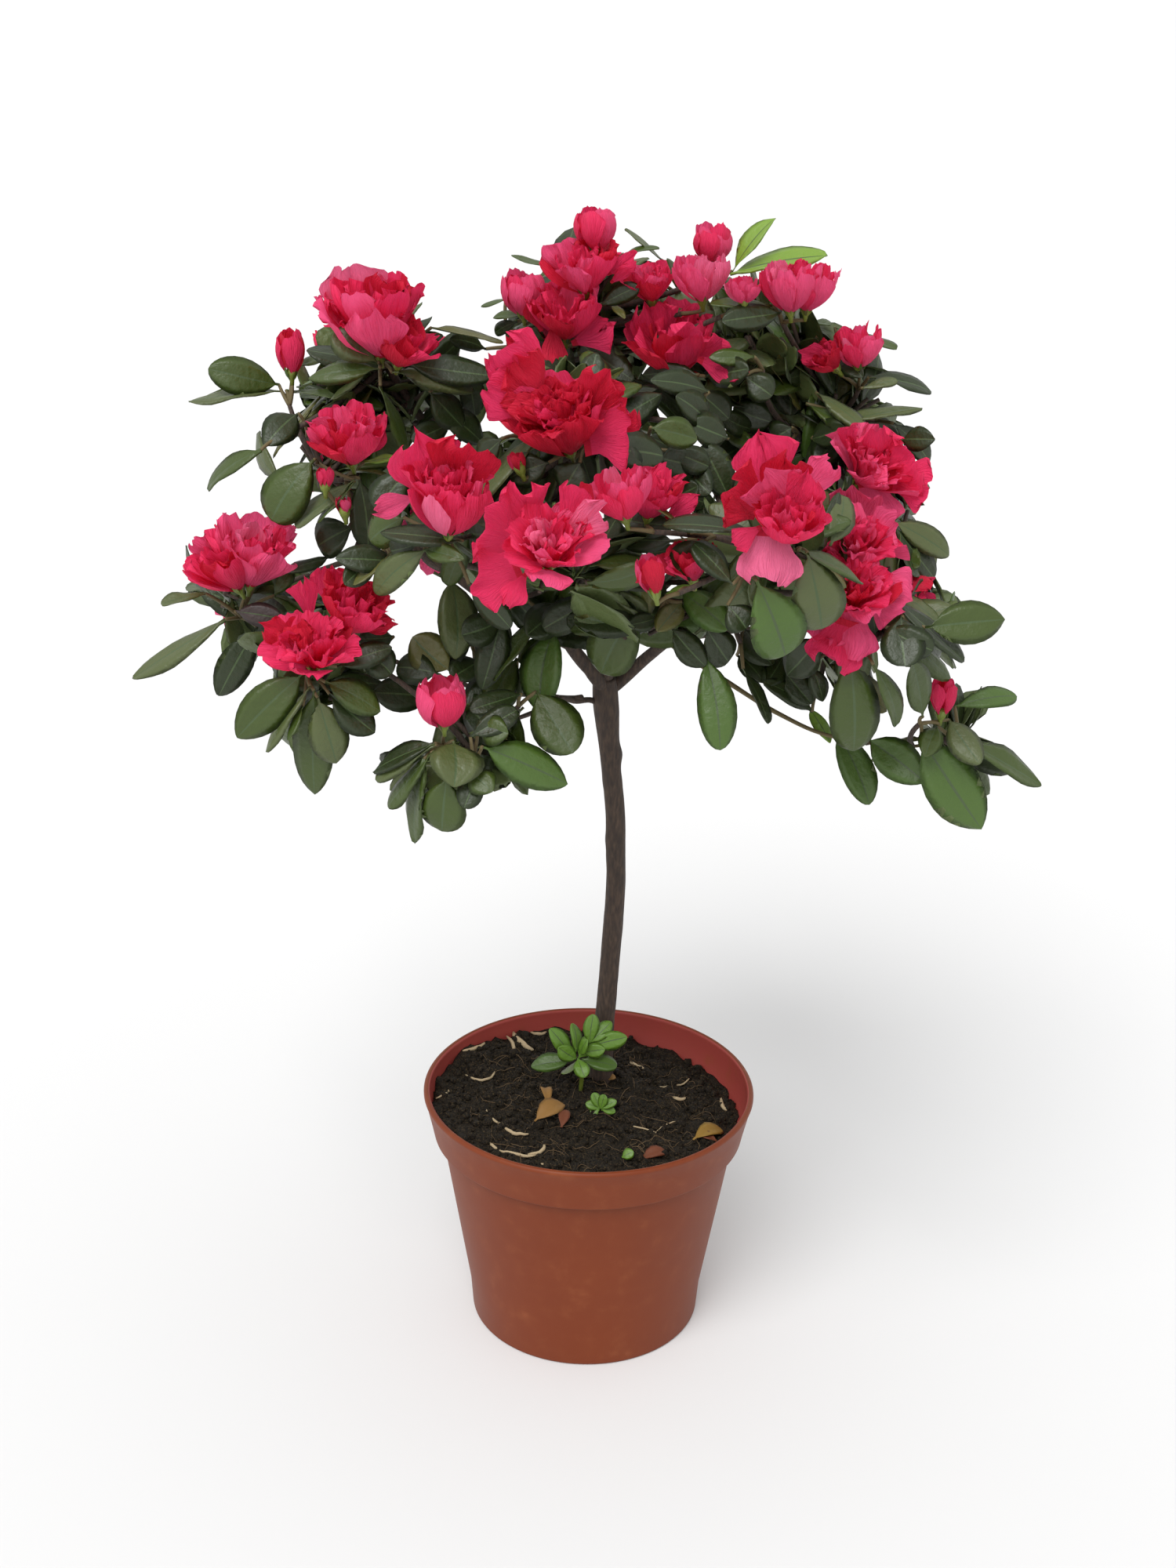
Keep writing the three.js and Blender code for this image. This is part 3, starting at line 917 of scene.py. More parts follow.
def leaves(base, tip, up, width, arch, fold, chance, marks=LEAF_MARKS):
    """Leaves from base to tip. The middle line arches towards up; across, the blade folds up in a
    shallow V by fold, its edges roll under, and smooth noise waves it. Points are rings of nine."""
    count = len(base)
    length = np.linalg.norm(tip - base, axis=1)
    along = unit(tip - base)
    side = unit(np.cross(along, up))
    top = np.cross(side, along)
    share = marks[None, :, None]
    round_it = LEAF_ROUND[None, None, :]
    close = chance.uniform(0.46, 0.8, (count, 1, 1))
    half = np.maximum(width[:, None, None] / 2 * blade_width(share, close), 0.5)
    seeds = chance.uniform(0, 60, (count, 1, 1))
    wave = 0.045 * length[:, None, None] * wander(share * 3.2 + seeds, round_it * 0.9 + seeds * 1.7)
    roll = np.abs(round_it) ** 3
    lift = half * (fold[:, None, None] * np.abs(round_it) - 0.22 * roll) + wave * np.abs(round_it)
    middle = arch * length
    lift = lift + middle[:, None, None] * 4 * share * (1 - share)
    hook = chance.uniform(-0.02, 0.07, (count, 1, 1)) * length[:, None, None]
    lift = lift - hook * share**4
    lift = lift - LEAF_UNDER * LEAF_THICK
    lean = chance.normal(0, 0.018, (count, 1, 1)) * length[:, None, None] * np.sin(math.pi * share)
    places = base[:, None, None] + along[:, None, None] * (share * length[:, None, None])[..., None]
    places = places + side[:, None, None] * (round_it * half + lean)[..., None]
    places = places + top[:, None, None] * lift[..., None]
    end = tip[:, None] - top[:, None] * hook[:, 0, :, None]
    body = places.reshape(count, -1, 3)
    return np.concatenate([body, base[:, None], end], 1)


def leaf_piece(name, rows, chance, marks=LEAF_MARKS, looks=None):
    """Makes one piece from leaf rows: arrays of base, tip, up, width, arch, fold and tint. With looks
    of its own, a leaf has one look all over; else its rib and underside have theirs."""
    *shape, tint = rows
    points = leaves(*shape, chance, marks)
    rings, around = len(marks), len(LEAF_ROUND)
    each = rings * around + 2
    fours = copied(grid_fours(rings, around, round_shut=True), len(tint), each)
    threes = copied(cap_threes(rings, around), len(tint), each)
    columns = np.tile(COLUMN_KIND, rings - 1)
    picks = np.repeat(tint, len(columns))
    if looks is None:
        kinds = np.tile(columns, len(tint))
        under = np.where(picks == TINTS.index("young"), TINTS.index("pale"), TINTS.index("under"))
        picks = np.where(kinds == RIB, TINTS.index("rib"), np.where(kinds == UNDER, under, picks))
    picks = np.concatenate([picks, np.repeat(tint, around * 2)])
    return mesh_piece(name, points.reshape(-1, 3), fours, threes, looks or leaf_looks, picks)


# %% [markdown]
# ## The leaves that face the front
#
# The front of the crown is planned leaf by leaf on the front view: each row gives where the stalk
# starts, where the tip ends, how wide the blade looks in millimetres, and its tint. The mass gives the
# depth. A blade that looks narrower than it can be is a broad one turned edge-on, so the turn about
# its own line comes from the ratio of the two widths.

# %% Leaves planned on the front view
D, M, F, Y = (TINTS.index(word) for word in ("dark", "mid", "fresh", "young"))
# G is the grey-green tint, lightened as painted sheen.
O, G, P, S, C = (TINTS.index(word) for word in ("olive", "sheen_grey", "plum", "sprout", "cup"))
# Each row: stalk across, stalk down, tip across, tip down (view points), seen width in mm, tint.
FRONT_LEAVES = {
    "middle_left": [
        (356, 491, 267, 470, 14, M), (358, 498, 240, 512, 5.5, G), (365, 498, 490, 515, 5.5, M),
        (375, 470, 425, 450, 4.5, M), (380, 527, 338, 567, 12.5, D), (333, 574, 261, 621, 7, M),
        (401, 586, 346, 664, 18, M), (452, 612, 373, 668, 6.5, G), (452, 615, 403, 665, 3.5, M),
        (465, 590, 507, 582, 3.5, Y), (458, 610, 470, 700, 12, D), (450, 672, 404, 696, 15, D),
        (422, 711, 364, 728, 5, D),
    ],
    "upper_left": [
        (482, 462, 425, 425, 13, G), (484, 470, 392, 480, 9, M), (500, 475, 606, 495, 10.5, G),
        (520, 465, 630, 480, 11, D), (485, 492, 528, 590, 6.5, M), (550, 418, 642, 438, 2.6, O),
        (596, 470, 606, 530, 10, D), (548, 500, 590, 545, 12, D), (620, 445, 575, 432, 7, D),
        (575, 540, 525, 562, 9, D), (560, 520, 618, 565, 11, D),
    ],
    "centre_left": [
        (545, 700, 478, 758, 10, G), (500, 705, 450, 745, 4, O), (590, 690, 485, 680, 8, D),
        (540, 700, 590, 712, 7, M), (598, 745, 652, 802, 9, D), (505, 716, 428, 712, 10, D),
        (520, 600, 480, 650, 13, D), (480, 720, 440, 745, 9, D), (532, 694, 497, 703, 8, D),
        (515, 660, 470, 690, 12, M),
    ],
    "far_left": [
        (287, 790, 170, 867, 9.5, G), (262, 757, 205, 770, 4.5, G), (330, 740, 355, 700, 10, D),
        (350, 760, 372, 725, 6.5, M), (300, 780, 362, 790, 9, P), (328, 800, 279, 888, 12.5, D),
    ],
    "lower_left": [
        (388, 858, 302, 942, 15.5, M), (395, 875, 335, 957, 4.5, G), (386, 900, 366, 944, 3.5, M),
        (400, 880, 399, 1018, 14.5, M), (405, 890, 430, 975, 14, G), (420, 885, 478, 935, 13, D),
        (415, 870, 485, 908, 12, M), (430, 850, 500, 825, 9, D), (440, 735, 400, 762, 7, D),
        (548, 890, 476, 884, 13, D), (460, 830, 500, 860, 12, D), (502, 812, 458, 815, 8, D),
    ],
    "bottom_left": [
        (555, 948, 472, 981, 7, D), (555, 950, 476, 992, 8, G), (550, 960, 491, 1028, 7, M),
        (541, 968, 526, 1077, 9, M), (578, 945, 580, 1003, 19, G), (570, 990, 563, 1062, 16.5, M),
        (612, 985, 592, 1030, 9, D), (672, 838, 661, 886, 5, D), (600, 985, 628, 1010, 10.5, M),
        (615, 952, 725, 1000, 15, F), (600, 940, 660, 905, 9.5, D), (575, 856, 526, 812, 15, O),
        (610, 930, 648, 935, 11, M), (600, 800, 560, 850, 11, D), (614, 842, 577, 864, 11, D),
        (692, 810, 664, 847, 7, M), (640, 850, 600, 905, 12, D), (660, 840, 625, 900, 12, M),
        (610, 850, 650, 800, 12, D), (560, 860, 505, 850, 12, D),
    ],
    "bottom_front": [
        (575, 735, 584, 840, 15.5, G), (640, 780, 615, 880, 12, D), (690, 780, 628, 868, 7, M),
        (708, 798, 687, 908, 17, F), (684, 882, 731, 961, 18, M), (665, 885, 600, 905, 9, D),
        (765, 760, 692, 802, 12, D), (820, 775, 728, 805, 9, M), (815, 765, 760, 785, 5, F),
        (814, 776, 766, 860, 18, M), (805, 700, 752, 722, 10, D), (868, 755, 928, 802, 12, F),
        (850, 758, 885, 748, 3, Y), (870, 768, 838, 806, 9, O), (855, 800, 900, 850, 10.5, D),
        (900, 836, 919, 957, 13.5, F), (948, 853, 983, 921, 5, D), (640, 790, 590, 810, 12, D),
        (720, 770, 672, 810, 13, D), (900, 800, 930, 845, 13, D), (838, 788, 802, 797, 7, D),
    ],
    "crown_top": [
        (847, 333, 799, 290, 2, G), (795, 324, 841, 314, 2.5, M), (868, 378, 853, 330, 4, M),
        (765, 390, 815, 365, 7, D), (780, 387, 797, 405, 3, O), (700, 340, 652, 326, 2.5, M),
        (645, 382, 613, 390, 2, M), (672, 402, 628, 403, 4, M), (660, 410, 630, 425, 5, D),
        (812, 482, 748, 460, 5.5, M), (803, 482, 885, 552, 9.5, D), (855, 495, 955, 518, 9.5, D),
    ],
    "crown_top_right": [
        (962, 455, 905, 455, 6, M), (934, 346, 987, 275, 5.5, Y), (931, 348, 1056, 324, 7, Y),
        (925, 550, 960, 568, 6.5, M), (985, 390, 905, 388, 4.5, M), (995, 400, 920, 410, 10, D),
        (900, 480, 955, 470, 11, D), (892, 478, 818, 478, 9, D), (962, 548, 922, 530, 9, D),
        (914, 646, 878, 634, 9, D), (862, 576, 830, 558, 9, D), (868, 700, 824, 706, 8, D),
        (890, 500, 930, 535, 12, D), (950, 480, 985, 505, 11, D),
    ],
    "upper_right": [
        (1003, 405, 993, 447, 15, G), (1028, 410, 1058, 414, 3, M), (1030, 412, 1091, 438, 7, G),
        (1065, 417, 1144, 445, 4, M), (1040, 430, 1103, 495, 7, M), (1003, 450, 1010, 528, 16, D),
        (1108, 481, 1190, 496, 7.7, D), (1100, 495, 1145, 485, 4, G), (1075, 536, 1177, 517, 4.5, G),
        (1028, 515, 1108, 560, 7, M), (1040, 500, 1105, 545, 7, G), (1060, 450, 1100, 480, 10, D),
        (1035, 560, 1075, 545, 11, D), (1010, 545, 985, 560, 12, D), (990, 540, 935, 520, 13, D),
        (960, 560, 912, 590, 13, D), (1000, 580, 945, 560, 13, D), (1140, 540, 1188, 590, 9, D),
    ],
    "centre_upper": [
        (760, 575, 848, 580, 15, D), (855, 575, 905, 595, 10, D), (800, 560, 790, 610, 13, D),
        (700, 590, 650, 610, 12, D), (640, 560, 610, 590, 10, D), (830, 545, 890, 560, 11, M),
        (740, 590, 720, 625, 13, D), (900, 600, 845, 585, 13, D), (905, 540, 862, 505, 12, D),
        (905, 500, 832, 484, 9, D), (865, 590, 905, 630, 12, D), (930, 560, 880, 540, 13, D),
        (932, 640, 896, 568, 13, D), (850, 640, 890, 620, 12, D),
    ],
    "front_right": [
        (880, 680, 805, 622, 4, O), (968, 680, 845, 665, 8, D), (868, 669, 797, 663, 10, D),
        (935, 745, 885, 692, 9.5, D), (965, 740, 1003, 838, 19, F), (1030, 705, 1050, 806, 18, G),
        (1020, 700, 1103, 742, 4.5, M), (900, 690, 860, 735, 12, D), (860, 690, 788, 690, 9, D),
        (928, 772, 952, 802, 11, D),
    ],
    "middle_right": [
        (1140, 665, 1214, 708, 10, G), (1140, 670, 1192, 738, 9, D), (1070, 560, 1040, 590, 12, D),
    ],
    "lower_right": [
        (1180, 800, 1283, 790, 15, M), (1140, 763, 1229, 845, 5.5, D), (1150, 785, 1155, 850, 15, D),
        (1177, 914, 1162, 842, 9.5, M), (990, 840, 1035, 897, 10.5, D), (1036, 908, 973, 869, 7, D),
        (1035, 850, 1050, 895, 7, D), (1084, 835, 1090, 962, 18, M), (1114, 848, 1148, 926, 9, M),
        (1130, 800, 1190, 830, 11, D), (1000, 835, 975, 875, 9, D), (940, 835, 975, 870, 9, D),
        (948, 800, 985, 848, 12, D), (1048, 812, 1003, 862, 13, D), (1150, 560, 1192, 560, 9, D),
    ],
    "right_arm": [
        (1066, 930, 1110, 1026, 13, F), (1106, 942, 1180, 998, 15, F), (1032, 903, 1060, 946, 6, Y),
        (1174, 940, 1252, 1058, 21, F), (1210, 918, 1250, 975, 12, G), (1232, 945, 1330, 1001, 9.5, M),
        (1218, 901, 1298, 886, 9, F), (1195, 925, 1180, 965, 9, M),
    ],
}
FRONT_NAMES = list(FRONT_LEAVES) + ["centre_front"]
NEVER_WIDER = 0.46
WIDEST = 17
STALK_SINK = 9.0
TIP_SINK = 1.0
TIP_FORWARD = 13
TIP_BACK = 5


def on_mass(mass, across, down, sink=0.0):
    """Where a sight line meets one mass's near side, or passes nearest to it, plus a sink along it."""
    which = MASS_NAMES.index("foliage_" + mass)
    lines = sight_lines(across, down)
    start = (EYE - MASS_CENTRES[which]) / MASS_HALVES[which]
    squeezed = lines / MASS_HALVES[which]
    steep = (squeezed**2).sum(-1)
    middle = -(squeezed * start).sum(-1) / steep
    miss = ((start + middle[..., None] * squeezed) ** 2).sum(-1)
    reach = middle - np.sqrt(np.maximum(1 - miss, 0) / steep) + sink
    return EYE + lines * reach[..., None]


def at_depth(across, down, depth):
    """The point of a sight line at a depth along the frame's Y."""
    lines = sight_lines(across, down)
    return EYE + lines * ((depth - EYE[1]) / lines[..., 1])[..., None]


def front_leaf_rows(chance):
    """Turns the plan into leaf arrays: stalks sit a little inside the mass, tips come out to its
    surface by no more than a third of a leaf, and the blade turns about its line to look its width."""
    rows = [(mass, *row) for mass, plan in FRONT_LEAVES.items() for row in plan]
    base, tip = [], []
    for mass, across, down, tip_across, tip_down, _, _ in rows:
        start = on_mass(mass, across, down, STALK_SINK)
        end = on_mass(mass, tip_across, tip_down, TIP_SINK)
        depth = np.clip(end[1], start[1] - TIP_FORWARD, start[1] + TIP_BACK)
        base.append(start)
        tip.append(at_depth(tip_across, tip_down, depth))
    base, tip = np.array(base), np.array(tip)
    seen = np.array([row[5] for row in rows], float)
    tint = np.array([row[6] for row in rows])
    length = np.linalg.norm(tip - base, axis=1)
    width = np.maximum(seen, np.minimum(length * NEVER_WIDER, WIDEST) * 0.86)
    turn = np.arccos(np.clip(seen / width, 0.05, 1))
    along = unit(tip - base)
    facing = facing_eye(base, along)
    side = np.cross(along, facing)
    skyward = np.where(side[:, 2:] > 0, 1.0, -1.0) * side
    up = facing * np.cos(turn)[:, None] + skyward * np.sin(turn)[:, None]
    up = up + 0.2 * skyward + chance.normal(0, 0.16, (len(rows), 1)) * side
    arch = chance.uniform(0.01, 0.08, len(rows)) * np.cos(turn) ** 2
    return base, tip, up, width, arch, chance.uniform(0.14, 0.42, len(rows)), tint


front_chance = np.random.default_rng(31)
front_rows = front_leaf_rows(front_chance)
print("leaves planned on the front:", len(front_rows[0]))

# %% [markdown]
# ## Petals and flowers
#
# The flowers are double: whorls of petals one inside another, narrow at the foot, broad and frilled at
# the rim, some still wrapped as buds. One petal is a surface in two parameters, up the petal and across
# it. Up the petal, a lean from the flower's axis changes from foot to rim, and summing its sine and
# cosine gives how far out and how far up it has gone. Across, it wraps round the axis or lies flat.
# Smooth noise that grows towards the rim makes the frill. A flower kind is a list of whorls.

# %% Petal finishes
PETAL_COLOURS = {
    "rose": linear(250, 60, 112),
    "pink": linear(255, 92, 144),
    # The darkest red tint is painted shade: a darker copy of the same red, for petals and throats that lie
    # in shadow.
    "deep": linear(230, 40, 74),
    "blush": linear(255, 120, 164),
}
PETAL_TINTS = list(PETAL_COLOURS)
THROUGH = 0.4


def petal_finish(name, colour):
    """Thin tissue: a soft plain surface mixed with light that comes through from behind. Creases run
    up each petal, as noise squeezed across the petal's own surface map."""
    finish = Finish("petal_" + name)
    petal_place = finish.wire("ShaderNodeTexCoord", "UV")
    creased = finish.wire("ShaderNodeMapping", 0, Vector=petal_place, Scale=(9.0, 1.6, 1.0))
    crepe = finish.noise(2.0, 6.0, creased)
    normal = finish.bump(crepe, 0.003, 0.7)
    face = finish.surface(colour, 0.5 + 0.2 * crepe, Normal=normal, Specular_IOR_Level=0.3)
    behind = finish.wire("ShaderNodeBsdfTranslucent", Color=(*colour, 1), Normal=normal)
    mixed = finish.wire("ShaderNodeMixShader", 0, (), in1=THROUGH, in2=face, in3=behind)
    return finish.done(mixed)


petal_looks = [petal_finish(name, colour) for name, colour in PETAL_COLOURS.items()]

# %% Petal shape
PETAL_UP = np.array([0.0, 0.13, 0.27, 0.41, 0.54, 0.66, 0.77, 0.87, 0.95, 1.0])
PETAL_ACROSS = {"front": np.linspace(-1, 1, 17), "behind": np.linspace(-1, 1, 11)}
WIDTH_MARKS = [0, 0.15, 0.35, 0.55, 0.75, 0.9, 1.0]
WIDTH_SHARES = [0.14, 0.22, 0.52, 0.82, 1.0, 0.97, 0.74]
TUBE = 1.3
LONE = ("petal", "broad", "wide")
# Each whorl: petals, length and width as shares of the size, lean at foot and rim in degrees, how far
# a petal wraps round the axis, and how deep its frill is as a share of the size.
FLOWERS = {
    "double": [
        (5, 1.0, 0.84, 46, 58, 0.4, 0.12), (6, 0.94, 0.72, 34, 40, 0.5, 0.14),
        (6, 0.86, 0.6, 22, 24, 0.6, 0.15), (4, 0.78, 0.48, 10, 8, 0.7, 0.14),
    ],
    "open": [
        (5, 1.0, 0.78, 34, 92, 0.15, 0.10), (5, 0.78, 0.64, 20, 58, 0.3, 0.13),
        (5, 0.66, 0.52, 10, 26, 0.5, 0.14),
    ],
    "cup": [
        (5, 1.0, 0.84, 50, 20, 0.6, 0.10), (5, 0.96, 0.72, 36, 14, 0.7, 0.11),
        (4, 0.9, 0.56, 18, 6, 0.7, 0.12),
    ],
    "half": [
        (6, 1.0, 0.62, 60, -6, 0.8, 0.05), (5, 0.99, 0.56, 42, -4, 0.8, 0.06),
        (3, 0.96, 0.5, 20, 2, 0.8, 0.06),
    ],
    "broad": [(1, 1.0, 1.2, -12, 44, 0.0, 0.2)],
    "fat_bud": [(5, 1.0, 0.8, 62, -40, 1.0, 0.06), (4, 1.0, 0.66, 44, -28, 1.0, 0.05)],
    "bud": [(4, 1.0, 0.6, 40, -26, 1.0, 0.02), (3, 0.98, 0.5, 26, -16, 1.0, 0.02)],
    "petal": [(1, 1.0, 0.78, -8, 30, 0.0, 0.17)],
    "wide": [(1, 1.0, 1.45, -10, 42, 0.0, 0.18)],
}
WIDE_FROM = 1.31
WIDE_FOOT = 0.5


def petal_sheets(foot, axis, front, size, shape, turn, across, chance):
    """All petals as grids. shape has a row of whorl numbers for each petal; turn is its angle round
    the axis. Returns points in rows of up by across."""
    count = len(foot)
    length, width, lean_foot, lean_rim, wrap, frill = (shape[:, k][:, None, None] for k in range(1, 7))
    size = size[:, None, None]
    up, across = PETAL_UP[None, :, None], across[None, None, :]
    lean = np.radians(lean_foot + (lean_rim - lean_foot) * up**1.3)
    rise = np.diff(PETAL_UP, prepend=0)[None, :, None]
    between = np.concatenate([lean[:, :1], (lean[:, 1:] + lean[:, :-1]) / 2], 1)
    out = TUBE + size * length * np.cumsum(np.sin(between) * rise, 1)
    high = size * length * np.cumsum(np.cos(between) * rise, 1)
    slender = np.interp(PETAL_UP, WIDTH_MARKS, WIDTH_SHARES)[None, :, None]
    half = size * width / 2 * np.maximum(slender, np.where(width > WIDE_FROM, WIDE_FOOT, 0))
    sideways = across * half
    flat_turn, flat_far = np.arctan2(sideways, out), np.hypot(sideways, out)
    round_turn = sideways / np.maximum(out, 2.2)
    far = flat_far * (1 - wrap) + out * (1 + 0.13 * across) * wrap
    swing = turn[:, None, None] + flat_turn * (1 - wrap) + round_turn * wrap
    seeds = chance.uniform(0, 60, (count, 1, 1))
    rough = wander(across * 1.25 + seeds, up * 1.9 + seeds * 1.3) * up**1.1
    fold = wander(across * 2.7 + seeds * 0.7, up * 0.9 + seeds * 2.3) * up
    fine = wander(across * 4.4 + seeds * 2.1, up * 2.2 + seeds) * up**3
    push = frill * size * (0.85 * rough + 0.5 * fold + 0.8 * fine) - 0.10 * half * across**2
    ragged = wander(across * 4.4 + seeds * 3.3, seeds + up * 0)
    stretch = size * length * up**4 * (0.055 * ragged - 0.15 * across**4)
    second = np.cross(axis, front)
    cos, sin = np.cos(swing)[..., None], np.sin(swing)[..., None]
    radial = front[:, None, None] * cos + second[:, None, None] * sin
    middle = axis[:, None, None]
    lean = lean[..., None]
    outward = radial * np.cos(lean) - middle * np.sin(lean)
    onward = radial * np.sin(lean) + middle * np.cos(lean)
    points = foot[:, None, None] + middle * high[..., None] + radial * far[..., None]
    return points + outward * push[..., None] + onward * stretch[..., None]


# %% [markdown]
# ## Flowers planned on the front view
#
# Each flower row says what kind it is, where its stalk ends and where its rim is on the view, how far
# it turns to face the front in degrees, its petal length in millimetres and its tint. Single petals
# that stray from a flower are rows too.

# %% Flowers on the front
# Each row: kind, foot across, foot down, rim across, rim down, facing, size in mm, tint.
# Flowers given the darkest red tint lie in shade; their darker red is painted shade.
FRONT_FLOWERS = {
    "upper_left": [
        ("cup", 486, 456, 467, 329, 14, 30, "rose"), ("double", 480, 428, 464, 350, 28, 20, "rose"),
        ("wide", 464, 410, 440, 325, 10, 21, "pink"), ("broad", 488, 420, 502, 338, 12, 22, "rose"),
        ("cup", 508, 466, 522, 410, 24, 17, "deep"), ("petal", 440, 410, 406, 398, 10, 9, "rose"),
    ],
    "middle_left": [
        ("bud", 372, 478, 368, 417, 0, 15.5, "rose"), ("cup", 450, 592, 438, 522, 18, 21, "rose"),
        ("petal", 450, 585, 383, 532, 14, 20, "rose"), ("petal", 455, 585, 494, 536, 14, 17, "rose"),
        ("bud", 415, 622, 414, 600, 0, 7, "rose"), ("bud", 440, 655, 438, 640, 0, 6, "rose"),
    ],
    "centre_left": [
        ("half", 572, 682, 574, 610, 12, 22, "pink"), ("cup", 566, 650, 566, 590, 22, 19, "rose"),
        ("broad", 560, 645, 534, 562, 12, 25, "pink"), ("broad", 574, 642, 598, 558, 12, 25, "rose"),
        ("petal", 528, 634, 480, 650, 10, 14, "pink"), ("petal", 556, 640, 553, 582, 28, 17, "rose"),
    ],
    "far_left": [
        ("cup", 306, 752, 268, 680, 10, 20.5, "rose"), ("cup", 318, 748, 334, 630, 8, 25, "pink"),
        ("petal", 345, 690, 378, 656, 5, 13, "rose"), ("petal", 280, 716, 237, 680, 12, 13, "rose"),
        ("broad", 288, 705, 250, 704, 20, 11, "rose"),
    ],
    "lower_left": [
        ("double", 402, 852, 390, 784, 30, 20, "rose"), ("cup", 440, 806, 462, 742, 20, 20, "deep"),
        ("petal", 395, 790, 385, 724, 20, 17, "pink"), ("petal", 424, 775, 416, 716, 14, 18, "rose"),
        ("petal", 455, 800, 494, 796, 14, 14, "deep"), ("petal", 380, 820, 334, 796, 20, 15, "deep"),
    ],
    "bottom_left": [
        ("fat_bud", 566, 926, 558, 846, 8, 19, "pink"),
    ],
    "centre_front": [
        ("double", 700, 722, 706, 642, 36, 20, "pink"), ("wide", 668, 692, 598, 652, 22, 22, "pink"),
        ("petal", 680, 678, 662, 612, 14, 21, "pink"), ("wide", 662, 722, 608, 744, 15, 17, "rose"),
        ("petal", 672, 730, 650, 768, 12, 13, "rose"), ("petal", 716, 690, 772, 648, 14, 20, "pink"),
        ("petal", 720, 680, 735, 618, 14, 20, "rose"), ("half", 798, 662, 782, 600, 8, 17, "pink"),
        ("cup", 826, 660, 834, 602, 18, 17, "rose"), ("petal", 850, 660, 890, 632, 10, 12, "rose"),
        ("petal", 760, 665, 735, 614, 12, 14, "rose"), ("bud", 836, 758, 826, 706, 6, 13, "rose"),
        ("petal", 838, 750, 812, 722, 10, 9, "deep"), ("cup", 884, 740, 876, 698, 12, 13, "deep"),
    ],
    "crown_top": [
        ("fat_bud", 761, 320, 757, 252, 0, 16, "rose"), ("cup", 748, 374, 741, 302, 18, 19, "rose"),
        ("petal", 720, 350, 694, 314, 10, 12, "rose"), ("petal", 775, 350, 806, 328, 10, 12, "rose"),
        ("fat_bud", 668, 402, 662, 340, 6, 16, "pink"), ("cup", 722, 432, 716, 350, 22, 20, "rose"),
        ("petal", 704, 410, 706, 458, 0, 14, "rose"), ("petal", 730, 438, 790, 412, 5, 17, "rose"),
        ("cup", 832, 384, 824, 330, 12, 14, "rose"), ("petal", 780, 360, 806, 338, 10, 9, "rose"),
        ("petal", 690, 420, 676, 380, 30, 14, "rose"),
    ],
    "centre_upper": [
        ("cup", 728, 578, 694, 474, 28, 25, "deep"), ("double", 716, 548, 694, 484, 30, 18, "deep"),
        ("broad", 698, 496, 626, 438, 12, 23, "rose"), ("petal", 690, 470, 646, 428, 10, 15, "rose"),
        ("broad", 692, 500, 658, 462, 16, 17, "rose"), ("wide", 684, 520, 624, 494, 12, 18, "rose"),
        ("wide", 750, 545, 800, 508, 16, 19, "deep"), ("broad", 745, 530, 776, 470, 14, 18, "deep"),
        ("wide", 745, 560, 800, 548, 14, 17, "deep"), ("petal", 672, 510, 640, 515, 10, 9, "deep"),
        ("bud", 664, 600, 656, 580, 0, 6, "deep"),
    ],
    "crown_top_right": [
        ("cup", 862, 482, 850, 372, 20, 27, "rose"), ("petal", 890, 458, 950, 478, 10, 18, "rose"),
        ("broad", 850, 458, 822, 378, 20, 22, "rose"), ("broad", 875, 465, 902, 392, 24, 21, "rose"),
        ("fat_bud", 908, 338, 910, 274, 0, 15.5, "rose"), ("half", 896, 384, 890, 312, 10, 17, "blush"),
        ("half", 948, 386, 948, 354, 10, 9, "pink"), ("half", 1008, 398, 1004, 328, 10, 18, "pink"),
        ("half", 1028, 396, 1036, 328, 10, 17, "rose"),
    ],
    "upper_right": [
        ("half", 1096, 468, 1092, 410, 10, 15, "pink"), ("cup", 1066, 470, 1040, 440, 14, 11, "deep"),
        ("petal", 1066, 462, 1014, 446, 10, 14, "rose"),
    ],
    "middle_right": [
        ("double", 1094, 618, 1138, 562, 24, 21, "pink"), ("broad", 1100, 606, 1118, 526, 18, 23, "pink"),
        ("broad", 1105, 616, 1190, 568, 16, 24, "pink"), ("wide", 1134, 610, 1176, 618, 12, 14, "pink"),
        ("wide", 1112, 612, 1118, 660, 10, 16, "blush"), ("cup", 1141, 738, 1168, 764, 10, 13.5, "rose"),
        ("petal", 1158, 757, 1196, 774, 5, 11, "rose"),
    ],
    "front_right": [
        ("cup", 1004, 690, 1008, 620, 34, 18, "rose"), ("broad", 980, 650, 905, 614, 22, 21, "rose"),
        ("petal", 990, 640, 966, 550, 12, 26, "rose"), ("petal", 1010, 640, 1060, 590, 12, 19, "pink"),
        ("broad", 1000, 645, 1000, 576, 20, 18, "rose"), ("wide", 985, 676, 980, 748, 16, 18, "pink"),
        ("petal", 970, 672, 936, 694, 20, 12, "rose"), ("petal", 1030, 680, 1046, 640, 25, 15, "pink"),
        ("petal", 960, 660, 925, 650, 25, 14, "rose"), ("wide", 1004, 660, 966, 590, 20, 20, "rose"),
        ("wide", 1002, 655, 1030, 600, 20, 17, "rose"),
    ],
    "lower_right": [
        ("double", 1086, 716, 1092, 652, 32, 19, "pink"), ("broad", 1085, 690, 1082, 612, 20, 23, "pink"),
        ("broad", 1100, 705, 1150, 668, 18, 19, "pink"), ("double", 1086, 774, 1098, 722, 34, 18, "rose"),
        ("wide", 1095, 720, 1062, 672, 22, 19, "rose"), ("wide", 1100, 745, 1138, 762, 16, 16, "pink"),
        ("wide", 1085, 772, 1080, 832, 16, 18, "pink"), ("wide", 1078, 790, 1058, 860, 14, 17, "rose"),
        ("broad", 1075, 760, 1046, 830, 16, 19, "pink"), ("petal", 1080, 740, 1056, 786, 28, 18, "pink"),
    ],
    "right_arm": [
        ("bud", 1200, 912, 1206, 860, 0, 13, "rose"),
    ],
}


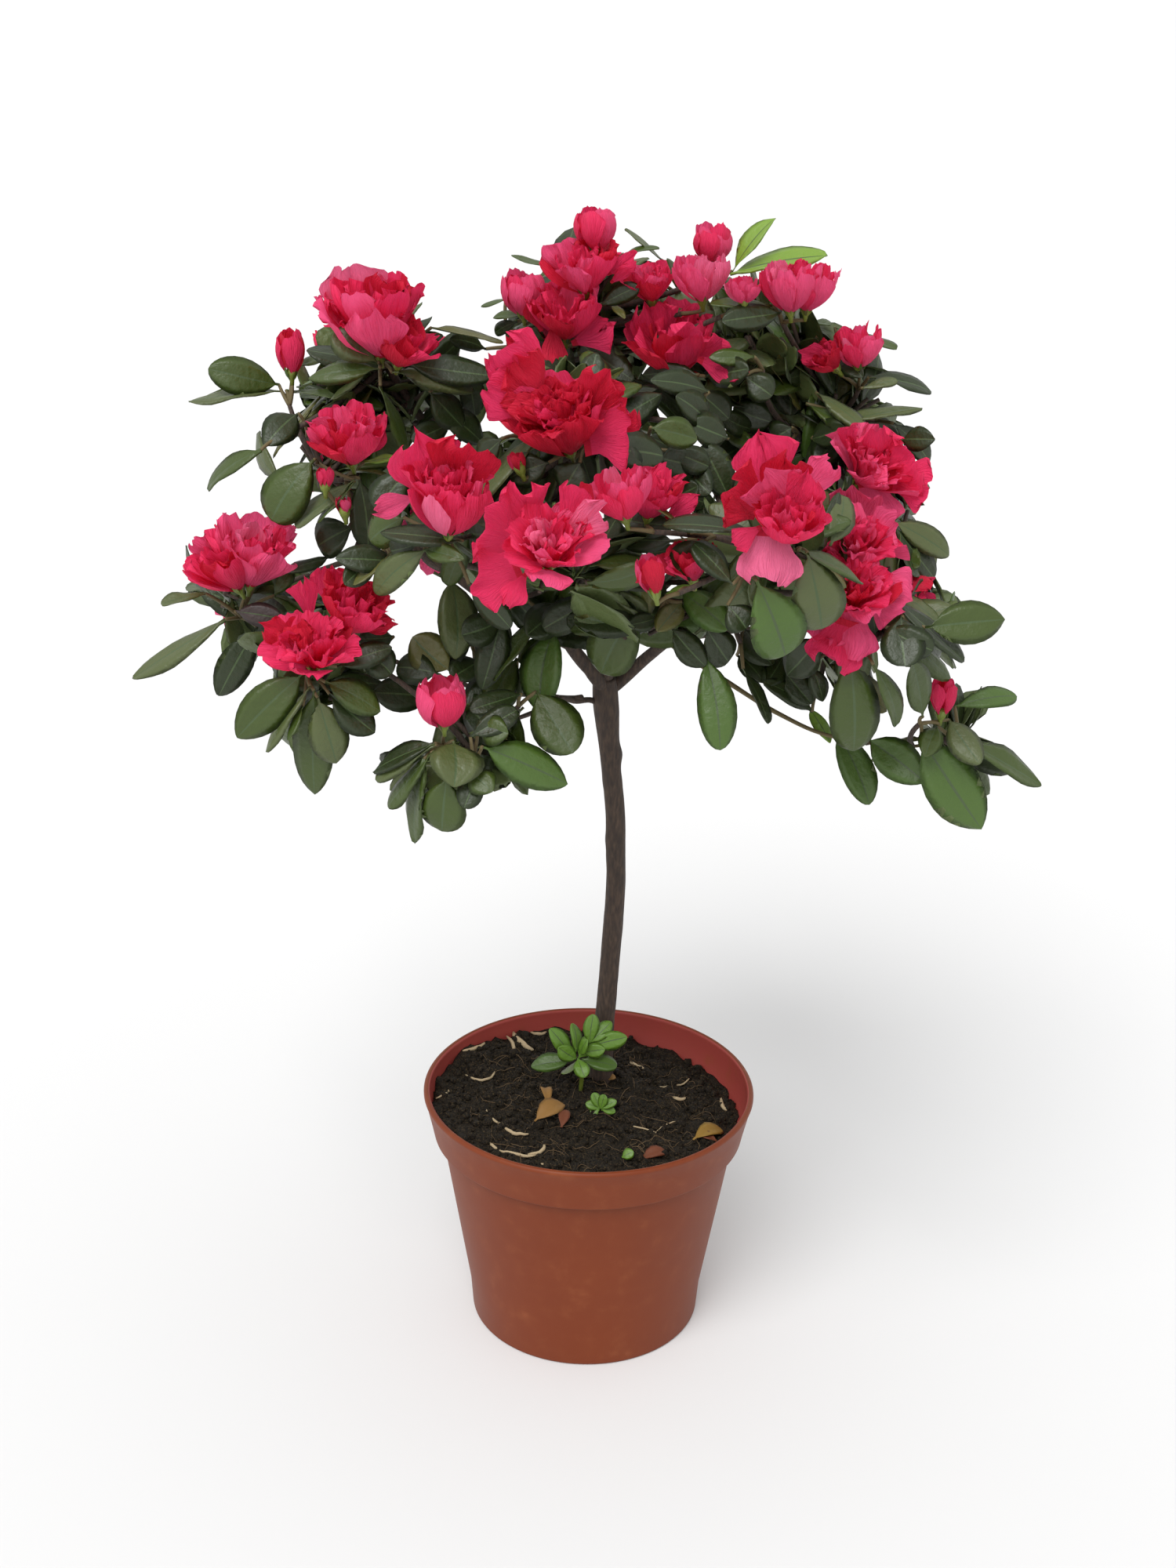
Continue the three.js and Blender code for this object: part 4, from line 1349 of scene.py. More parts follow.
def flower_rows():
    """The plan as arrays: the foot sits inside the mass by as much as the flower faces forward, and
    the axis blends the direction on the view with the line back to the eye."""
    rows = [(mass, *row) for mass, plan in FRONT_FLOWERS.items() for row in plan]
    foot, axis = [], []
    for mass, _, across, down, rim_across, rim_down, facing, size, _ in rows:
        forward = math.radians(facing)
        start = on_mass(mass, across, down, size * (0.25 + 0.6 * math.sin(forward)))
        rim = at_depth(rim_across, rim_down, start[1])
        flat = unit(rim - start)
        to_eye = unit(EYE - start)
        foot.append(start)
        axis.append(unit(flat * math.cos(forward) + to_eye * math.sin(forward)))
    kinds = [row[1] for row in rows]
    sizes = np.array([row[7] for row in rows], float)
    return np.array(foot), np.array(axis), kinds, sizes, [row[8] for row in rows]


front_flowers = flower_rows()
print("flowers and stray petals planned on the front:", len(front_flowers[2]))

# %% [markdown]
# ## Shoots by a seeded rule
#
# The rest of the crown, inside, round the sides and at the back, grows by rule. Each mass sends out
# shoots from its middle; each shoot ends in a whorl of leaves that lean away from its line, and some
# end in a flower. A leaf that would poke out of every mass is shortened or left out, and so is one that
# would close a gap where sky shows on the front view or stand in front of a planned leaf.

# %% Sky gaps
# Each gap on the front view: across, down, radius in view points.
SKY = {
    "under_left_arm": (515, 745, 38),
    "under_left_arm_low": (515, 810, 34),
    "left_notch": (600, 375, 45),
    "left_notch_low": (612, 448, 17),
    "centre_slit": (633, 537, 22),
    "bud_gap": (402, 456, 14),
    "twig_gap": (465, 468, 10),
    "left_twig_gap": (425, 655, 16),
    "right_shoulder": (1235, 720, 34),
    "right_slit": (1118, 832, 14),
    "right_slit_low": (1192, 838, 9),
    "left_low_gap": (462, 920, 30),
    "left_low_gap_side": (515, 915, 22),
    "stem_left_high": (728, 862, 26),
    "stem_left_low": (672, 925, 20),
    "stem_right_high": (850, 890, 44),
    "stem_right_low": (850, 940, 60),
    "arm_gap": (1000, 880, 26),
    "arm_gap_low": (1020, 960, 60),
    "small_gap": (885, 795, 9),
    "left_high_out": (310, 430, 60),
    "left_middle_out": (290, 690, 36),
    "top_left_out": (640, 300, 60),
    "far_left_out": (198, 732, 46),
    "far_left_slit": (245, 786, 15),
    "far_left_low": (262, 826, 20),
    "far_left_lowest": (240, 880, 46),
    "left_shoulder": (308, 616, 30),
    "left_shoulder_high": (296, 556, 26),
    "left_elbow": (382, 690, 17),
    "left_elbow_low": (300, 905, 16),
    "bud_left_gap": (515, 925, 30),
    "right_out": (1250, 700, 56),
    "right_out_low": (1240, 840, 24),
    "right_slit_tall": (1152, 885, 20),
    "right_slit_foot": (1138, 925, 12),
    "arm_end_gap": (1300, 940, 30),
    "right_high_out": (1190, 460, 30),
    "right_high_slit": (1160, 520, 14),
    "right_high_notch": (1142, 462, 14),
    "right_high_line": (1112, 507, 11),
    "right_high_line_end": (1140, 508, 10),
    "right_pink_foot": (1184, 655, 13),
    "right_elbow_low": (1205, 757, 11),
    "right_dip": (1156, 862, 12),
    "right_dip_low": (1160, 912, 13),
    "left_bud_foot": (378, 572, 12),
    "cluster_gap_left": (445, 966, 16),
    "cluster_gap_foot": (470, 987, 10),
    "cluster_gap_top": (520, 906, 13),
    "over_fork_notch": (828, 822, 13),
    "top_notch": (800, 310, 9),
    "top_left_shoulder": (710, 284, 16),
    "right_high_middle": (1126, 507, 10),
    "right_high_start": (1096, 508, 8),
    "right_elbow": (1208, 738, 16),
    "left_waist": (362, 588, 15),
    "far_left_wedge": (274, 785, 19),
    "far_left_wedge_low": (284, 818, 15),
    "lower_left_notch": (326, 864, 18),
    "left_between": (389, 690, 17),
    "fork_left_low": (723, 856, 12),
    "right_pink_gap": (1140, 856, 14),
    "arm_under": (1058, 906, 11),
    "arm_start": (1034, 914, 8),
    "arm_end_top": (1262, 915, 12),
    "arm_end_low": (1262, 987, 14),
    "far_left_tip": (222, 792, 15),
    "cluster_gap": (460, 968, 15),
    "cluster_foot": (612, 1048, 14),
    "fork_left": (738, 870, 14),
}
SKY_PLACES = np.array(list(SKY.values()), float)
OUTLINE_SHARE = 0.88
BEHIND_FRONT = 7
NO_SURFACE = 1e6
front_which = np.array([MASS_NAMES.index("foliage_" + name) for name in FRONT_NAMES])


def egg_share(points):
    """How far out points lie in the nearest mass: under 1 is inside it."""
    squeezed = (points[..., None, :] - MASS_CENTRES) / MASS_HALVES
    return np.sqrt((squeezed**2).sum(-1).min(-1))


def sight_miss(points):
    """How far the sight lines through points pass from the middle of the nearest front mass, where
    under 1 is a hit, and how far from the eye they meet it."""
    halves = MASS_HALVES[front_which] * OUTLINE_SHARE
    lines = unit(points - EYE)[..., None, :] / halves
    start = (EYE - MASS_CENTRES[front_which]) / halves
    steep = (lines**2).sum(-1)
    middle = -(lines * start).sum(-1) / steep
    miss = ((start + middle[..., None] * lines) ** 2).sum(-1)
    near = middle - np.sqrt(np.maximum(1 - miss, 0) / steep)
    surface = np.where(miss < 1, near, NO_SURFACE).min(-1)
    return miss.min(-1), surface


def hidden_enough(points, free=False):
    """True where a point shows in no sky gap, stays in the crown's outline unless it is free to leave
    it, and lies a little behind the planned front."""
    seen = in_view(points)
    gap = np.linalg.norm(seen[..., None, :] - SKY_PLACES[:, :2], axis=-1) < SKY_PLACES[:, 2]
    miss, surface = sight_miss(points)
    behind = np.linalg.norm(points - EYE, axis=-1) > surface + BEHIND_FRONT
    return ~gap.any(-1) & ((miss < 1) | free) & behind


# %% Shoots
ALL_NAMES = [name.removeprefix("foliage_") for name in MASS_NAMES]
BACK_NAMES = [name for name in ALL_NAMES if name not in FRONT_NAMES]
SHOOTS_FRONT = 18
SHOOTS_BACK = 22
LEAVES_EACH = 8
LEAVES_FEW = 7
LEAF_LONG = (26, 42)
SHORTEST_LEAF = 19
TIP_SHARE = 1.05
GOLDEN = math.pi * (3 - math.sqrt(5))
CROWN_MIDDLE = np.array([0.0, 0.0, 330.0])


def shoots(names, each, low, high, chance):
    """Shoot ends and lines: seeded directions from each mass's middle, favouring the way out of the
    crown, ended at a share of the mass's size."""
    ends, lines = [], []
    for name in names:
        which = ALL_NAMES.index(name)
        way = unit(MASS_CENTRES[which] - CROWN_MIDDLE)
        aim = unit(unit(chance.normal(0, 1, (each, 3))) + 0.45 * way)
        share = chance.uniform(low, high, (each, 1))
        ends.append(MASS_CENTRES[which] + aim * MASS_HALVES[which] * share)
        lines.append(unit(aim + 0.35 * way + 0.3 * UP))
    return np.concatenate(ends), np.concatenate(lines)


def whorl_rows(ends, lines, chance, number=LEAVES_EACH, free=False, loose=False):
    """Leaves round shoot ends: golden-angle turns, leaning off the shoot's line more for the lower
    ones, each shortened until its tip is in a mass, and left out if it has to be too short or shows
    where it mustn't. Loose ones needn't end in a mass, and free ones may leave the outline too."""
    count = len(ends)
    order = np.arange(number)[None, :]
    turn = chance.uniform(0, 6.3, (count, 1)) + GOLDEN * order + chance.normal(0, 0.12, (count, number))
    lean = np.radians(38 + 52 * order / number) + chance.normal(0, 0.16, (count, number))
    first, second = square_to(lines)
    round_it = first[:, None] * np.cos(turn)[..., None] + second[:, None] * np.sin(turn)[..., None]
    way = lines[:, None] * np.cos(lean)[..., None] + round_it * np.sin(lean)[..., None]
    down = order * 1.1 + chance.uniform(0, 1.5, (count, number))
    base = ends[:, None] - lines[:, None] * down[..., None]
    length = chance.uniform(*LEAF_LONG, (count, number)) * (0.8 + 0.25 * order / number)
    up = lines[:, None] * np.sin(lean)[..., None] - round_it * np.cos(lean)[..., None]
    up = up + 0.35 * UP + chance.normal(0, 0.14, (count, number, 3))
    base, way, length, up = base.reshape(-1, 3), way.reshape(-1, 3), length.ravel(), up.reshape(-1, 3)
    for _ in range(3):
        outside = (egg_share(base + way * length[:, None]) > 1.03) & (not (free or loose))
        length = np.where(outside, length * 0.86, length)
    tip = base + way * length[:, None] - UP * (0.06 * length)[:, None]
    width = length * chance.uniform(0.37, 0.5, len(base))
    middle = (base + tip) / 2
    side = unit(np.cross(way, up)) * (0.42 * width)[:, None]
    good = ((egg_share(tip) < TIP_SHARE) | free | loose) & (length > SHORTEST_LEAF)
    near_tip = base * 0.25 + tip * 0.75
    for spot in (tip, near_tip, middle, base, middle + side, middle - side):
        good &= hidden_enough(spot, free)
    kept = good.reshape(count, number).sum(1)
    arch = chance.uniform(0.0, 0.1, len(base))
    fold = chance.uniform(0.08, 0.35, len(base))
    bare = chance.choice([D, M, G, O, F], len(base), p=[0.42, 0.3, 0.16, 0.06, 0.06])
    return tuple(part[good] for part in (base, tip, up, width, arch, fold, bare)), kept


# Each filler: across and down on the view, depth in mm, spread in mm, shoots.
FILLERS = {
    "crown_middle": (905, 555, -15, 15, 9),
    "crown_middle_low": (880, 625, -30, 13, 6),
    "crown_right": (955, 500, 0, 13, 6),
    "crown_right_low": (945, 590, -5, 14, 5),
    "left_low": (480, 712, -45, 8, 3),
    "left_low_small": (402, 726, -45, 6, 3),
    "by_bud": (600, 850, -60, 10, 5),
    "by_bud_low": (640, 885, -60, 9, 4),
    "by_bud_left": (535, 845, -62, 8, 4),
    "over_fork": (690, 800, -50, 11, 5),
    "over_arm": (900, 830, -50, 10, 4),
    "right_low": (1040, 870, -55, 9, 3),
    "left_edge": (560, 560, -20, 14, 4),
    "right_middle": (1060, 480, 5, 14, 5),
    "bud_side": (480, 850, -60, 8, 3),
}
# The dome that the crown would fill: its half sizes in mm, shoots on it, and how far they go down.
DOME = np.array([120.0, 104.0, 88.0])
DOME_SHOOTS = 120
DOME_LOW = 1.3


def dome_shoots(chance):
    """Shoot ends between the back masses: golden turns down the crown's dome, from its top to a
    little under its middle, kept on the far half."""
    order = np.arange(DOME_SHOOTS)
    rise = 1 - DOME_LOW * (order + 0.5) / DOME_SHOOTS
    flat = np.sqrt(1 - rise**2)
    aim = np.stack([flat * np.cos(GOLDEN * order), flat * np.sin(GOLDEN * order), rise], -1)
    aim = aim[aim[:, 1] > 0.02]
    ends = CROWN_MIDDLE + aim * DOME * chance.uniform(0.8, 1.0, (len(aim), 1))
    return ends, unit(aim + 0.35 * UP)


def filler_shoots(chance):
    """Shoot ends scattered round each filler's place, pointing out of the crown."""
    ends = []
    for across, down, depth, spread, count in FILLERS.values():
        ends.append(at_depth(across, down, depth) + chance.normal(0, 0.5, (count, 3)) * spread)
    ends = np.concatenate(ends)
    lines = unit(unit(ends - CROWN_MIDDLE) + chance.normal(0, 0.5, ends.shape) + [0, -0.3, 0.3])
    return ends, lines


def joined_rows(*sets):
    """Sets of leaf rows as one, array by array."""
    return tuple(np.concatenate(part) for part in zip(*sets))


fill_chance = np.random.default_rng(57)
inner_ends, inner_lines = shoots(FRONT_NAMES, SHOOTS_FRONT, 0.1, 0.72, fill_chance)
outer_ends, outer_lines = shoots(BACK_NAMES, SHOOTS_BACK, 0.25, 0.78, fill_chance)
filler_ends, filler_lines = filler_shoots(fill_chance)
inner_rows, inner_kept = whorl_rows(inner_ends, inner_lines, fill_chance)
filler_rows, filler_kept = whorl_rows(filler_ends, filler_lines, fill_chance, LEAVES_FEW, free=True)
inner_rows = joined_rows(inner_rows, filler_rows)
outer_rows, outer_kept = whorl_rows(outer_ends, outer_lines, fill_chance)
dome_chance = np.random.default_rng(61)
dome_ends, dome_lines = dome_shoots(dome_chance)
dome_rows, dome_kept = whorl_rows(dome_ends, dome_lines, dome_chance, LEAVES_FEW, loose=True)
outer_rows = joined_rows(outer_rows, dome_rows)
print("leaves by rule, inside and behind:", len(inner_rows[0]), len(outer_rows[0]))

for name, rows, marks, stands_for in (
    ("leaves_front", front_rows, FINE_MARKS, FRONT_NAMES),
    ("leaves_within", inner_rows, LEAF_MARKS, []),
    ("leaves_behind", outer_rows, LEAF_MARKS, BACK_NAMES),
):
    spray = leaf_piece(name, rows, fill_chance, marks)
    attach(spray, "root")
    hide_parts(*("foliage_" + mass for mass in stands_for))

# %% Flowers by rule
BACK_TRIES = 220
FLOWER_SPACING = 21.0
DOME_SPACING = 34.0
LEAFY = 3
# Each kind: its petal length in mm, and how often it comes.
BACK_KINDS = {
    "double": (26, 0.42),
    "cup": (22, 0.3),
    "open": (24, 0.1),
    "half": (18, 0.1),
    "fat_bud": (16, 0.08),
}
# The darkest red here is the painted-shade red.
BACK_TINTS = {"rose": 0.6, "pink": 0.28, "deep": 0.12}


def picked(chances, chance):
    """One of the words of a dictionary, by its chances."""
    return str(chance.choice(list(chances), p=list(chances.values())))


def try_flower(plan, foot, aim, axis, spacing, near_size, chance):
    """Draws a flower's kind and size, and adds it to the plan if its foot, rim and top are hidden
    enough and no other foot is within the spacing."""
    kind = picked({word: often for word, (_, often) in BACK_KINDS.items()}, chance)
    size = BACK_KINDS[kind][0] * chance.uniform(*near_size)
    first, second = square_to(aim)
    turn = np.linspace(0, 2 * math.pi, 9)[:, None]
    rim = foot + aim * size * 0.8 + (first * np.cos(turn) + second * np.sin(turn)) * size * 0.78
    if not hidden_enough(np.concatenate([rim, [foot, foot + aim * size]])).all():
        return
    if any(np.linalg.norm(other[0] - foot) < spacing for other in plan):
        return
    plan.append((foot, axis, kind, size, picked(BACK_TINTS, chance)))


def flowers_by_rule(chance, dome_chance):
    """Flowers near the outer face of the back and side masses, turned outward and a little up; then
    each leafy dome shoot that has room ends in one."""
    plan = []
    for name in BACK_NAMES:
        which = ALL_NAMES.index(name)
        way = unit((MASS_CENTRES[which] - CROWN_MIDDLE) * [1, 1, 1.4])
        for _ in range(BACK_TRIES):
            aim = unit(unit(chance.normal(0, 1, 3)) + 1.15 * way)
            foot = MASS_CENTRES[which] + aim * MASS_HALVES[which] * 0.55
            try_flower(plan, foot, aim, unit(aim + 0.25 * UP), FLOWER_SPACING, (0.9, 1.1), chance)
    leafy = dome_kept >= LEAFY
    for end, line in zip(dome_ends[leafy], dome_lines[leafy]):
        try_flower(plan, end + line * 2, line, line, DOME_SPACING, (0.85, 1.05), dome_chance)
    feet, axes, kinds, sizes, tints = zip(*plan)
    return np.array(feet), np.array(axes), kinds, np.array(sizes), tints


# The tints of a flower's petals, by the flower's tint.
# The darkest red among these is the painted-shade red.
NEAR_TINTS = {
    "rose": {"rose": 0.66, "deep": 0.2, "pink": 0.14},
    "pink": {"pink": 0.56, "rose": 0.34, "blush": 0.1},
    "deep": {"deep": 0.64, "rose": 0.36},
    "blush": {"pink": 0.55, "blush": 0.35, "rose": 0.1},
}


def flower_piece(name, plan, across_marks, chance):
    """One piece of blossom: every flower's whorls become petal rows, then one array of sheets."""
    feet, axes, kinds, sizes, tints = plan
    owner, shape, turn, pick = [], [], [], []
    for number, (kind, tint) in enumerate(zip(kinds, tints)):
        spin = 0.0 if kind in LONE else chance.uniform(0, 6.3)
        for whorl in FLOWERS[kind]:
            spin += 0.0 if kind in LONE else 0.62
            for place in range(whorl[0]):
                own = np.array(whorl, float)
                own[3:5] += chance.normal(0, 7, 2) * (1 - 0.7 * own[5])
                own[1:3] *= chance.uniform(0.92, 1.08, 2)
                owner.append(number)
                shape.append(own)
                turn.append(spin + 2 * math.pi * place / whorl[0] + chance.normal(0, 0.1))
                pick.append(PETAL_TINTS.index(picked(NEAR_TINTS[tint], chance)))
    owner, shape, turn, pick = (np.array(part) for part in (owner, shape, turn, pick))
    axis = axes[owner]
    front = facing_eye(feet[owner], axis)
    sheets = petal_sheets(feet[owner], axis, front, sizes[owner], shape, turn, across_marks, chance)
    rows, across = len(PETAL_UP), len(across_marks)
    fours = copied(grid_fours(rows, across), len(owner), rows * across)
    ring = np.repeat(np.arange(rows - 1), across - 1)
    # Painted shade: the lowest band of every petal that is not wrapped tight, down in the flower's throat,
    # takes the darkest red.
    throat_shade = np.tile(ring < 1, len(owner)) & (shape[:, 5].repeat(len(ring)) < 0.7)
    picks = np.where(throat_shade, PETAL_TINTS.index("deep"), pick.repeat(len(ring)))
    spread = across_marks[None, None] * shape[:, 2, None, None] + np.zeros((1, rows, 1))
    places = np.stack([spread, PETAL_UP[None, :, None] + spread * 0], -1)
    places = places + chance.uniform(0, 40, (len(owner), 1, 1, 2))
    points, places = sheets.reshape(-1, 3), places.reshape(-1, 2)
    return mesh_piece(name, points, fours, [], petal_looks, picks, places)


flower_chance = np.random.default_rng(83)
rule_flowers = flowers_by_rule(flower_chance, dome_chance)
print("flowers by rule:", len(rule_flowers[2]))
for where, plan in (("front", front_flowers), ("behind", rule_flowers)):
    blossom = flower_piece("blossom_" + where, plan, PETAL_ACROSS[where], flower_chance)
    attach(blossom, "root")

# %% [markdown]
# ## Calyx, stalks and twigs
#
# Every flower sits on a small green cup with narrow sepals, and every leaf on a twig that comes off a
# bough. Twigs are bent tubes: the planned leaves and flowers of a mass are gathered into bunches, each
# bunch gets a fork point behind it, and the fork is joined to the nearest bough and to each stalk.

# %% Calyx
SEPALS = 5


def calyx_rows(plan, chance):
    """Narrow sepals round each flower's foot, leaning out a little along its axis."""
    feet, axes, kinds, sizes, _ = plan
    keep = np.array([kind not in LONE for kind in kinds])
    feet, axes, sizes = feet[keep], axes[keep], sizes[keep]
    turn = chance.uniform(0, 6.3, (len(feet), 1)) + np.arange(SEPALS) * 2 * math.pi / SEPALS
    first, second = square_to(axes)
    radial = first[:, None] * np.cos(turn)[..., None] + second[:, None] * np.sin(turn)[..., None]
    base = feet[:, None] + radial * 1.1 - axes[:, None] * 1.5
    reach = chance.uniform(0.16, 0.3, turn.shape)[..., None] * np.minimum(sizes, 26)[:, None, None]
    tip = base + axes[:, None] * reach + radial * reach * 0.45
    base, tip, up = base.reshape(-1, 3), tip.reshape(-1, 3), radial.reshape(-1, 3)
    width = np.linalg.norm(tip - base, axis=1) * 0.36
    many = len(base)
    tint = chance.choice([C, F, O], many, p=[0.6, 0.2, 0.2])
    return base, tip, up, width, chance.uniform(0, 0.08, many), np.full(many, 0.2), tint


calyx_chance = np.random.default_rng(91)
calyx_parts = [calyx_rows(plan, calyx_chance) for plan in (front_flowers, rule_flowers)]
calyx = leaf_piece("calyx", joined_rows(*calyx_parts), calyx_chance)
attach(calyx, "root")

# %% Twigs
BUNCH = 17.0
BEHIND_END = 9.0
NEAR_TRIED = 120
SKY_COST = 45.0
FEWEST = 2
bough_points = bough_array[:, BOUGH_RINGS // 3 :].reshape(-1, 3)


def crosses_sky(starts, ends):
    """True where a straight line between two points passes a sky gap of the front view."""
    share = np.linspace(0.1, 0.9, 7)[:, None]
    seen = in_view(starts[..., None, :] * (1 - share) + ends[..., None, :] * share)
    apart = np.linalg.norm(seen[..., None, :] - SKY_PLACES[:, :2], axis=-1)
    return (apart < SKY_PLACES[:, 2]).any((-1, -2))


def nearest_bough(points):
    """The nearest point of any bough's outer part, by preference one whose line crosses no sky."""
    apart = np.linalg.norm(points[:, None] - bough_points[None], axis=-1)
    near = np.argsort(apart, axis=1)[:, :NEAR_TRIED]
    places = bough_points[near]
    cost = np.take_along_axis(apart, near, 1) + SKY_COST * crosses_sky(places, points[:, None])
    return np.take_along_axis(places, cost.argmin(1)[:, None, None], 1)[:, 0]


def bunches(ends):
    """Gathers ends greedily: each joins the first fork within reach, or starts one behind itself."""
    forks, owner = [], []
    for end in ends:
        apart = [np.linalg.norm(fork - end) for fork in forks]
        if apart and min(apart) < BUNCH:
            owner.append(int(np.argmin(apart)))
        else:
            towards = nearest_bough(end[None])[0] - end
            far = np.linalg.norm(towards)
            forks.append(end + towards * min(1.0, BEHIND_END / max(far, 1.0)))
            owner.append(len(forks) - 1)
    return np.array(forks), np.array(owner)


def twig_tubes(starts, ends, thick, thin, lift, chance):
    """Bent twigs, lifted in the middle, thinning along their length, a little crooked."""
    rings = 7
    apart = np.linalg.norm(ends - starts, axis=1, keepdims=True)
    bends = (starts + ends) / 2 + UP * apart * lift
    bends = bends + chance.normal(0, 0.07, bends.shape) * apart
    paths = bent(starts, bends, ends, rings)
    share = np.linspace(0, 1, rings)
    return tubes(paths, np.broadcast_to(thick + (thin - thick) * share, paths.shape[:2]), 6)


real_flowers = np.array([kind not in LONE for kind in front_flowers[2]])
flower_feet = (front_flowers[0] - front_flowers[1] * 3.5)[real_flowers]
front_ends = np.concatenate([front_rows[0], flower_feet])
front_forks, fork_owner = bunches(front_ends)
leafy = [
    inner_ends[inner_kept >= FEWEST],
    filler_ends[filler_kept >= FEWEST],
    outer_ends[outer_kept >= FEWEST],
    dome_ends[dome_kept >= FEWEST],
]
shoot_ends = np.concatenate([*leafy, rule_flowers[0] - rule_flowers[1] * 3])
twig_chance = np.random.default_rng(101)
# Each set: where its tubes start and end, their thickness at foot and tip in mm, lift, and wood.
TWIG_SETS = {
    "twigs_front": (nearest_bough(front_forks), front_forks, 1.25, 0.9, -0.06, bark),
    "twigs_within": (nearest_bough(shoot_ends), shoot_ends, 1.2, 0.75, -0.05, bark),
    "stalks": (front_forks[fork_owner], front_ends, 0.8, 0.6, 0.05, green_wood),
}
for name, (*run, wood) in TWIG_SETS.items():
    twigs = mesh_piece(name, *twig_tubes(*run, twig_chance), [wood])
    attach(twigs, "root")

all_feet, all_axes = (np.concatenate([front_flowers[k][real_flowers], rule_flowers[k]]) for k in (0, 1))
CUP_RISE = np.array([-3.8, -2.0, -0.6, 1.2, 2.2])
CUP_WIDE = np.array([0.7, 0.9, 1.7, 2.1, 1.6])
cup_paths = all_feet[:, None] + all_axes[:, None] * CUP_RISE[:, None]
cup_look = leaf_looks[C]
cups = mesh_piece("flower_cups", *tubes(cup_paths, np.tile(CUP_WIDE, (len(all_feet), 1)), 8), [cup_look])
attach(cups, "root")

# %% [markdown]
# ## The young shoot at the foot
#
# A tuft of soft, bright leaves has sprouted from the stem's foot, with a smaller one beside it. It is
# the same leaf and twig rule at a third of the size.

# %% Basal sprout
SPROUT_DEPTH = 2.0
LOW_SPROUTS = 1400
# Each row: stalk across, stalk down, tip across, tip down on the view, width in mm, depth in mm, tint.
SPROUT_LEAVES = [
    (730, 1352, 677, 1360, 8.5, 0, F), (730, 1346, 702, 1312, 8, -2, S), (735, 1342, 731, 1305, 6.5, 4, S),
    (738, 1350, 760, 1318, 8, 3, S), (752, 1332, 757, 1294, 7, 2, S), (752, 1330, 780, 1303, 7, 4, S),
    (754, 1334, 800, 1323, 8.5, 0, S), (742, 1352, 787, 1360, 9, -3, F), (737, 1350, 746, 1374, 7, -7, S),
    (735, 1350, 712, 1336, 7.5, -5, S), (744, 1342, 772, 1338, 7, -2, S), (737, 1353, 718, 1371, 6.5, -6, S),
    (740, 1346, 748, 1326, 6, -3, S), (765, 1416, 747, 1407, 4.5, 0, S), (765, 1416, 757, 1394, 4.5, 2, S),
    (766, 1416, 771, 1396, 4.5, 1, S), (767, 1416, 786, 1404, 4.5, 0, S), (767, 1417, 785, 1418, 4, -1, S),
    (764, 1417, 752, 1421, 4, -1, S), (793, 1478, 808, 1469, 5, 0, S),
]
# Each stalk: foot, top, and its two thicknesses in mm.
SPROUT_STALKS = [
    ((-4, 10, 92), (-3, 3, 115), 1.0, 0.8), ((-3.5, 6, 108), (2, 3, 120), 0.8, 0.6),
    ((6, -1, 92), (5.5, -3, 101), 0.7, 0.5),
]


def sprout_rows(chance):
    """Planned leaves again: the tuft's at its own depth, the low ones where their stalk meets peat."""
    plan = np.array(SPROUT_LEAVES, float)
    base = at_depth(plan[:, 0], plan[:, 1], SPROUT_DEPTH)
    low = plan[:, 1] > LOW_SPROUTS
    base[low] = [on_peat_seen(*row[:2]) + [0, 0, 0.6] for row in plan[low]]
    tip = np.array([at_depth(row[2], row[3], depth + row[5]) for row, depth in zip(plan, base[:, 1])])
    along = unit(tip - base)
    up = facing_eye(base, along) + 0.35 * UP
    up = up + chance.normal(0, 0.36, up.shape)
    many = len(plan)
    arch = chance.uniform(0.02, 0.1, many)
    return base, tip, up, plan[:, 4], arch, chance.uniform(0.2, 0.4, many), plan[:, 6].astype(int)


sprout_chance = np.random.default_rng(113)
sprout = leaf_piece("sprout_leaves", sprout_rows(sprout_chance), sprout_chance, FINE_MARKS)
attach(sprout, "root")
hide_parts("basal_sprout")
feet, tops, thick, thin = (np.array(part, float) for part in zip(*SPROUT_STALKS))
share = np.linspace(0, 1, 9)
stalk_paths = bent(feet, (feet + tops) / 2 + [0.8, -0.6, 0], tops, 9)
stalk_radii = thick[:, None] + (thin - thick)[:, None] * share
sprout_wood = mesh_piece("sprout_stalks", *tubes(stalk_paths, stalk_radii, 8), [cup_look])
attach(sprout_wood, "root")
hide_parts("basal_sprout_stem")

# %% Fallen leaves
# Each fallen leaf: stalk and tip on the front view, width in mm, arch, and which dry look it has.
FALLEN = {
    "tan_curled": (699, 1414, 694, 1391, 5, 0.2, 0),
    "tan_broad": (682, 1432, 720, 1412, 9, 0.16, 0),
    "rust_near": (716, 1440, 722, 1420, 5, 0.1, 2),
    "yellow_edge": (884, 1456, 922, 1444, 8, 0.12, 1),
    "rust_edge": (914, 1458, 890, 1450, 5, 0.12, 2),
    "rust_front": (816, 1482, 850, 1473, 6, 0.16, 2),
    "brown_chip": (772, 1380, 785, 1377, 4, 0.1, 0),
}

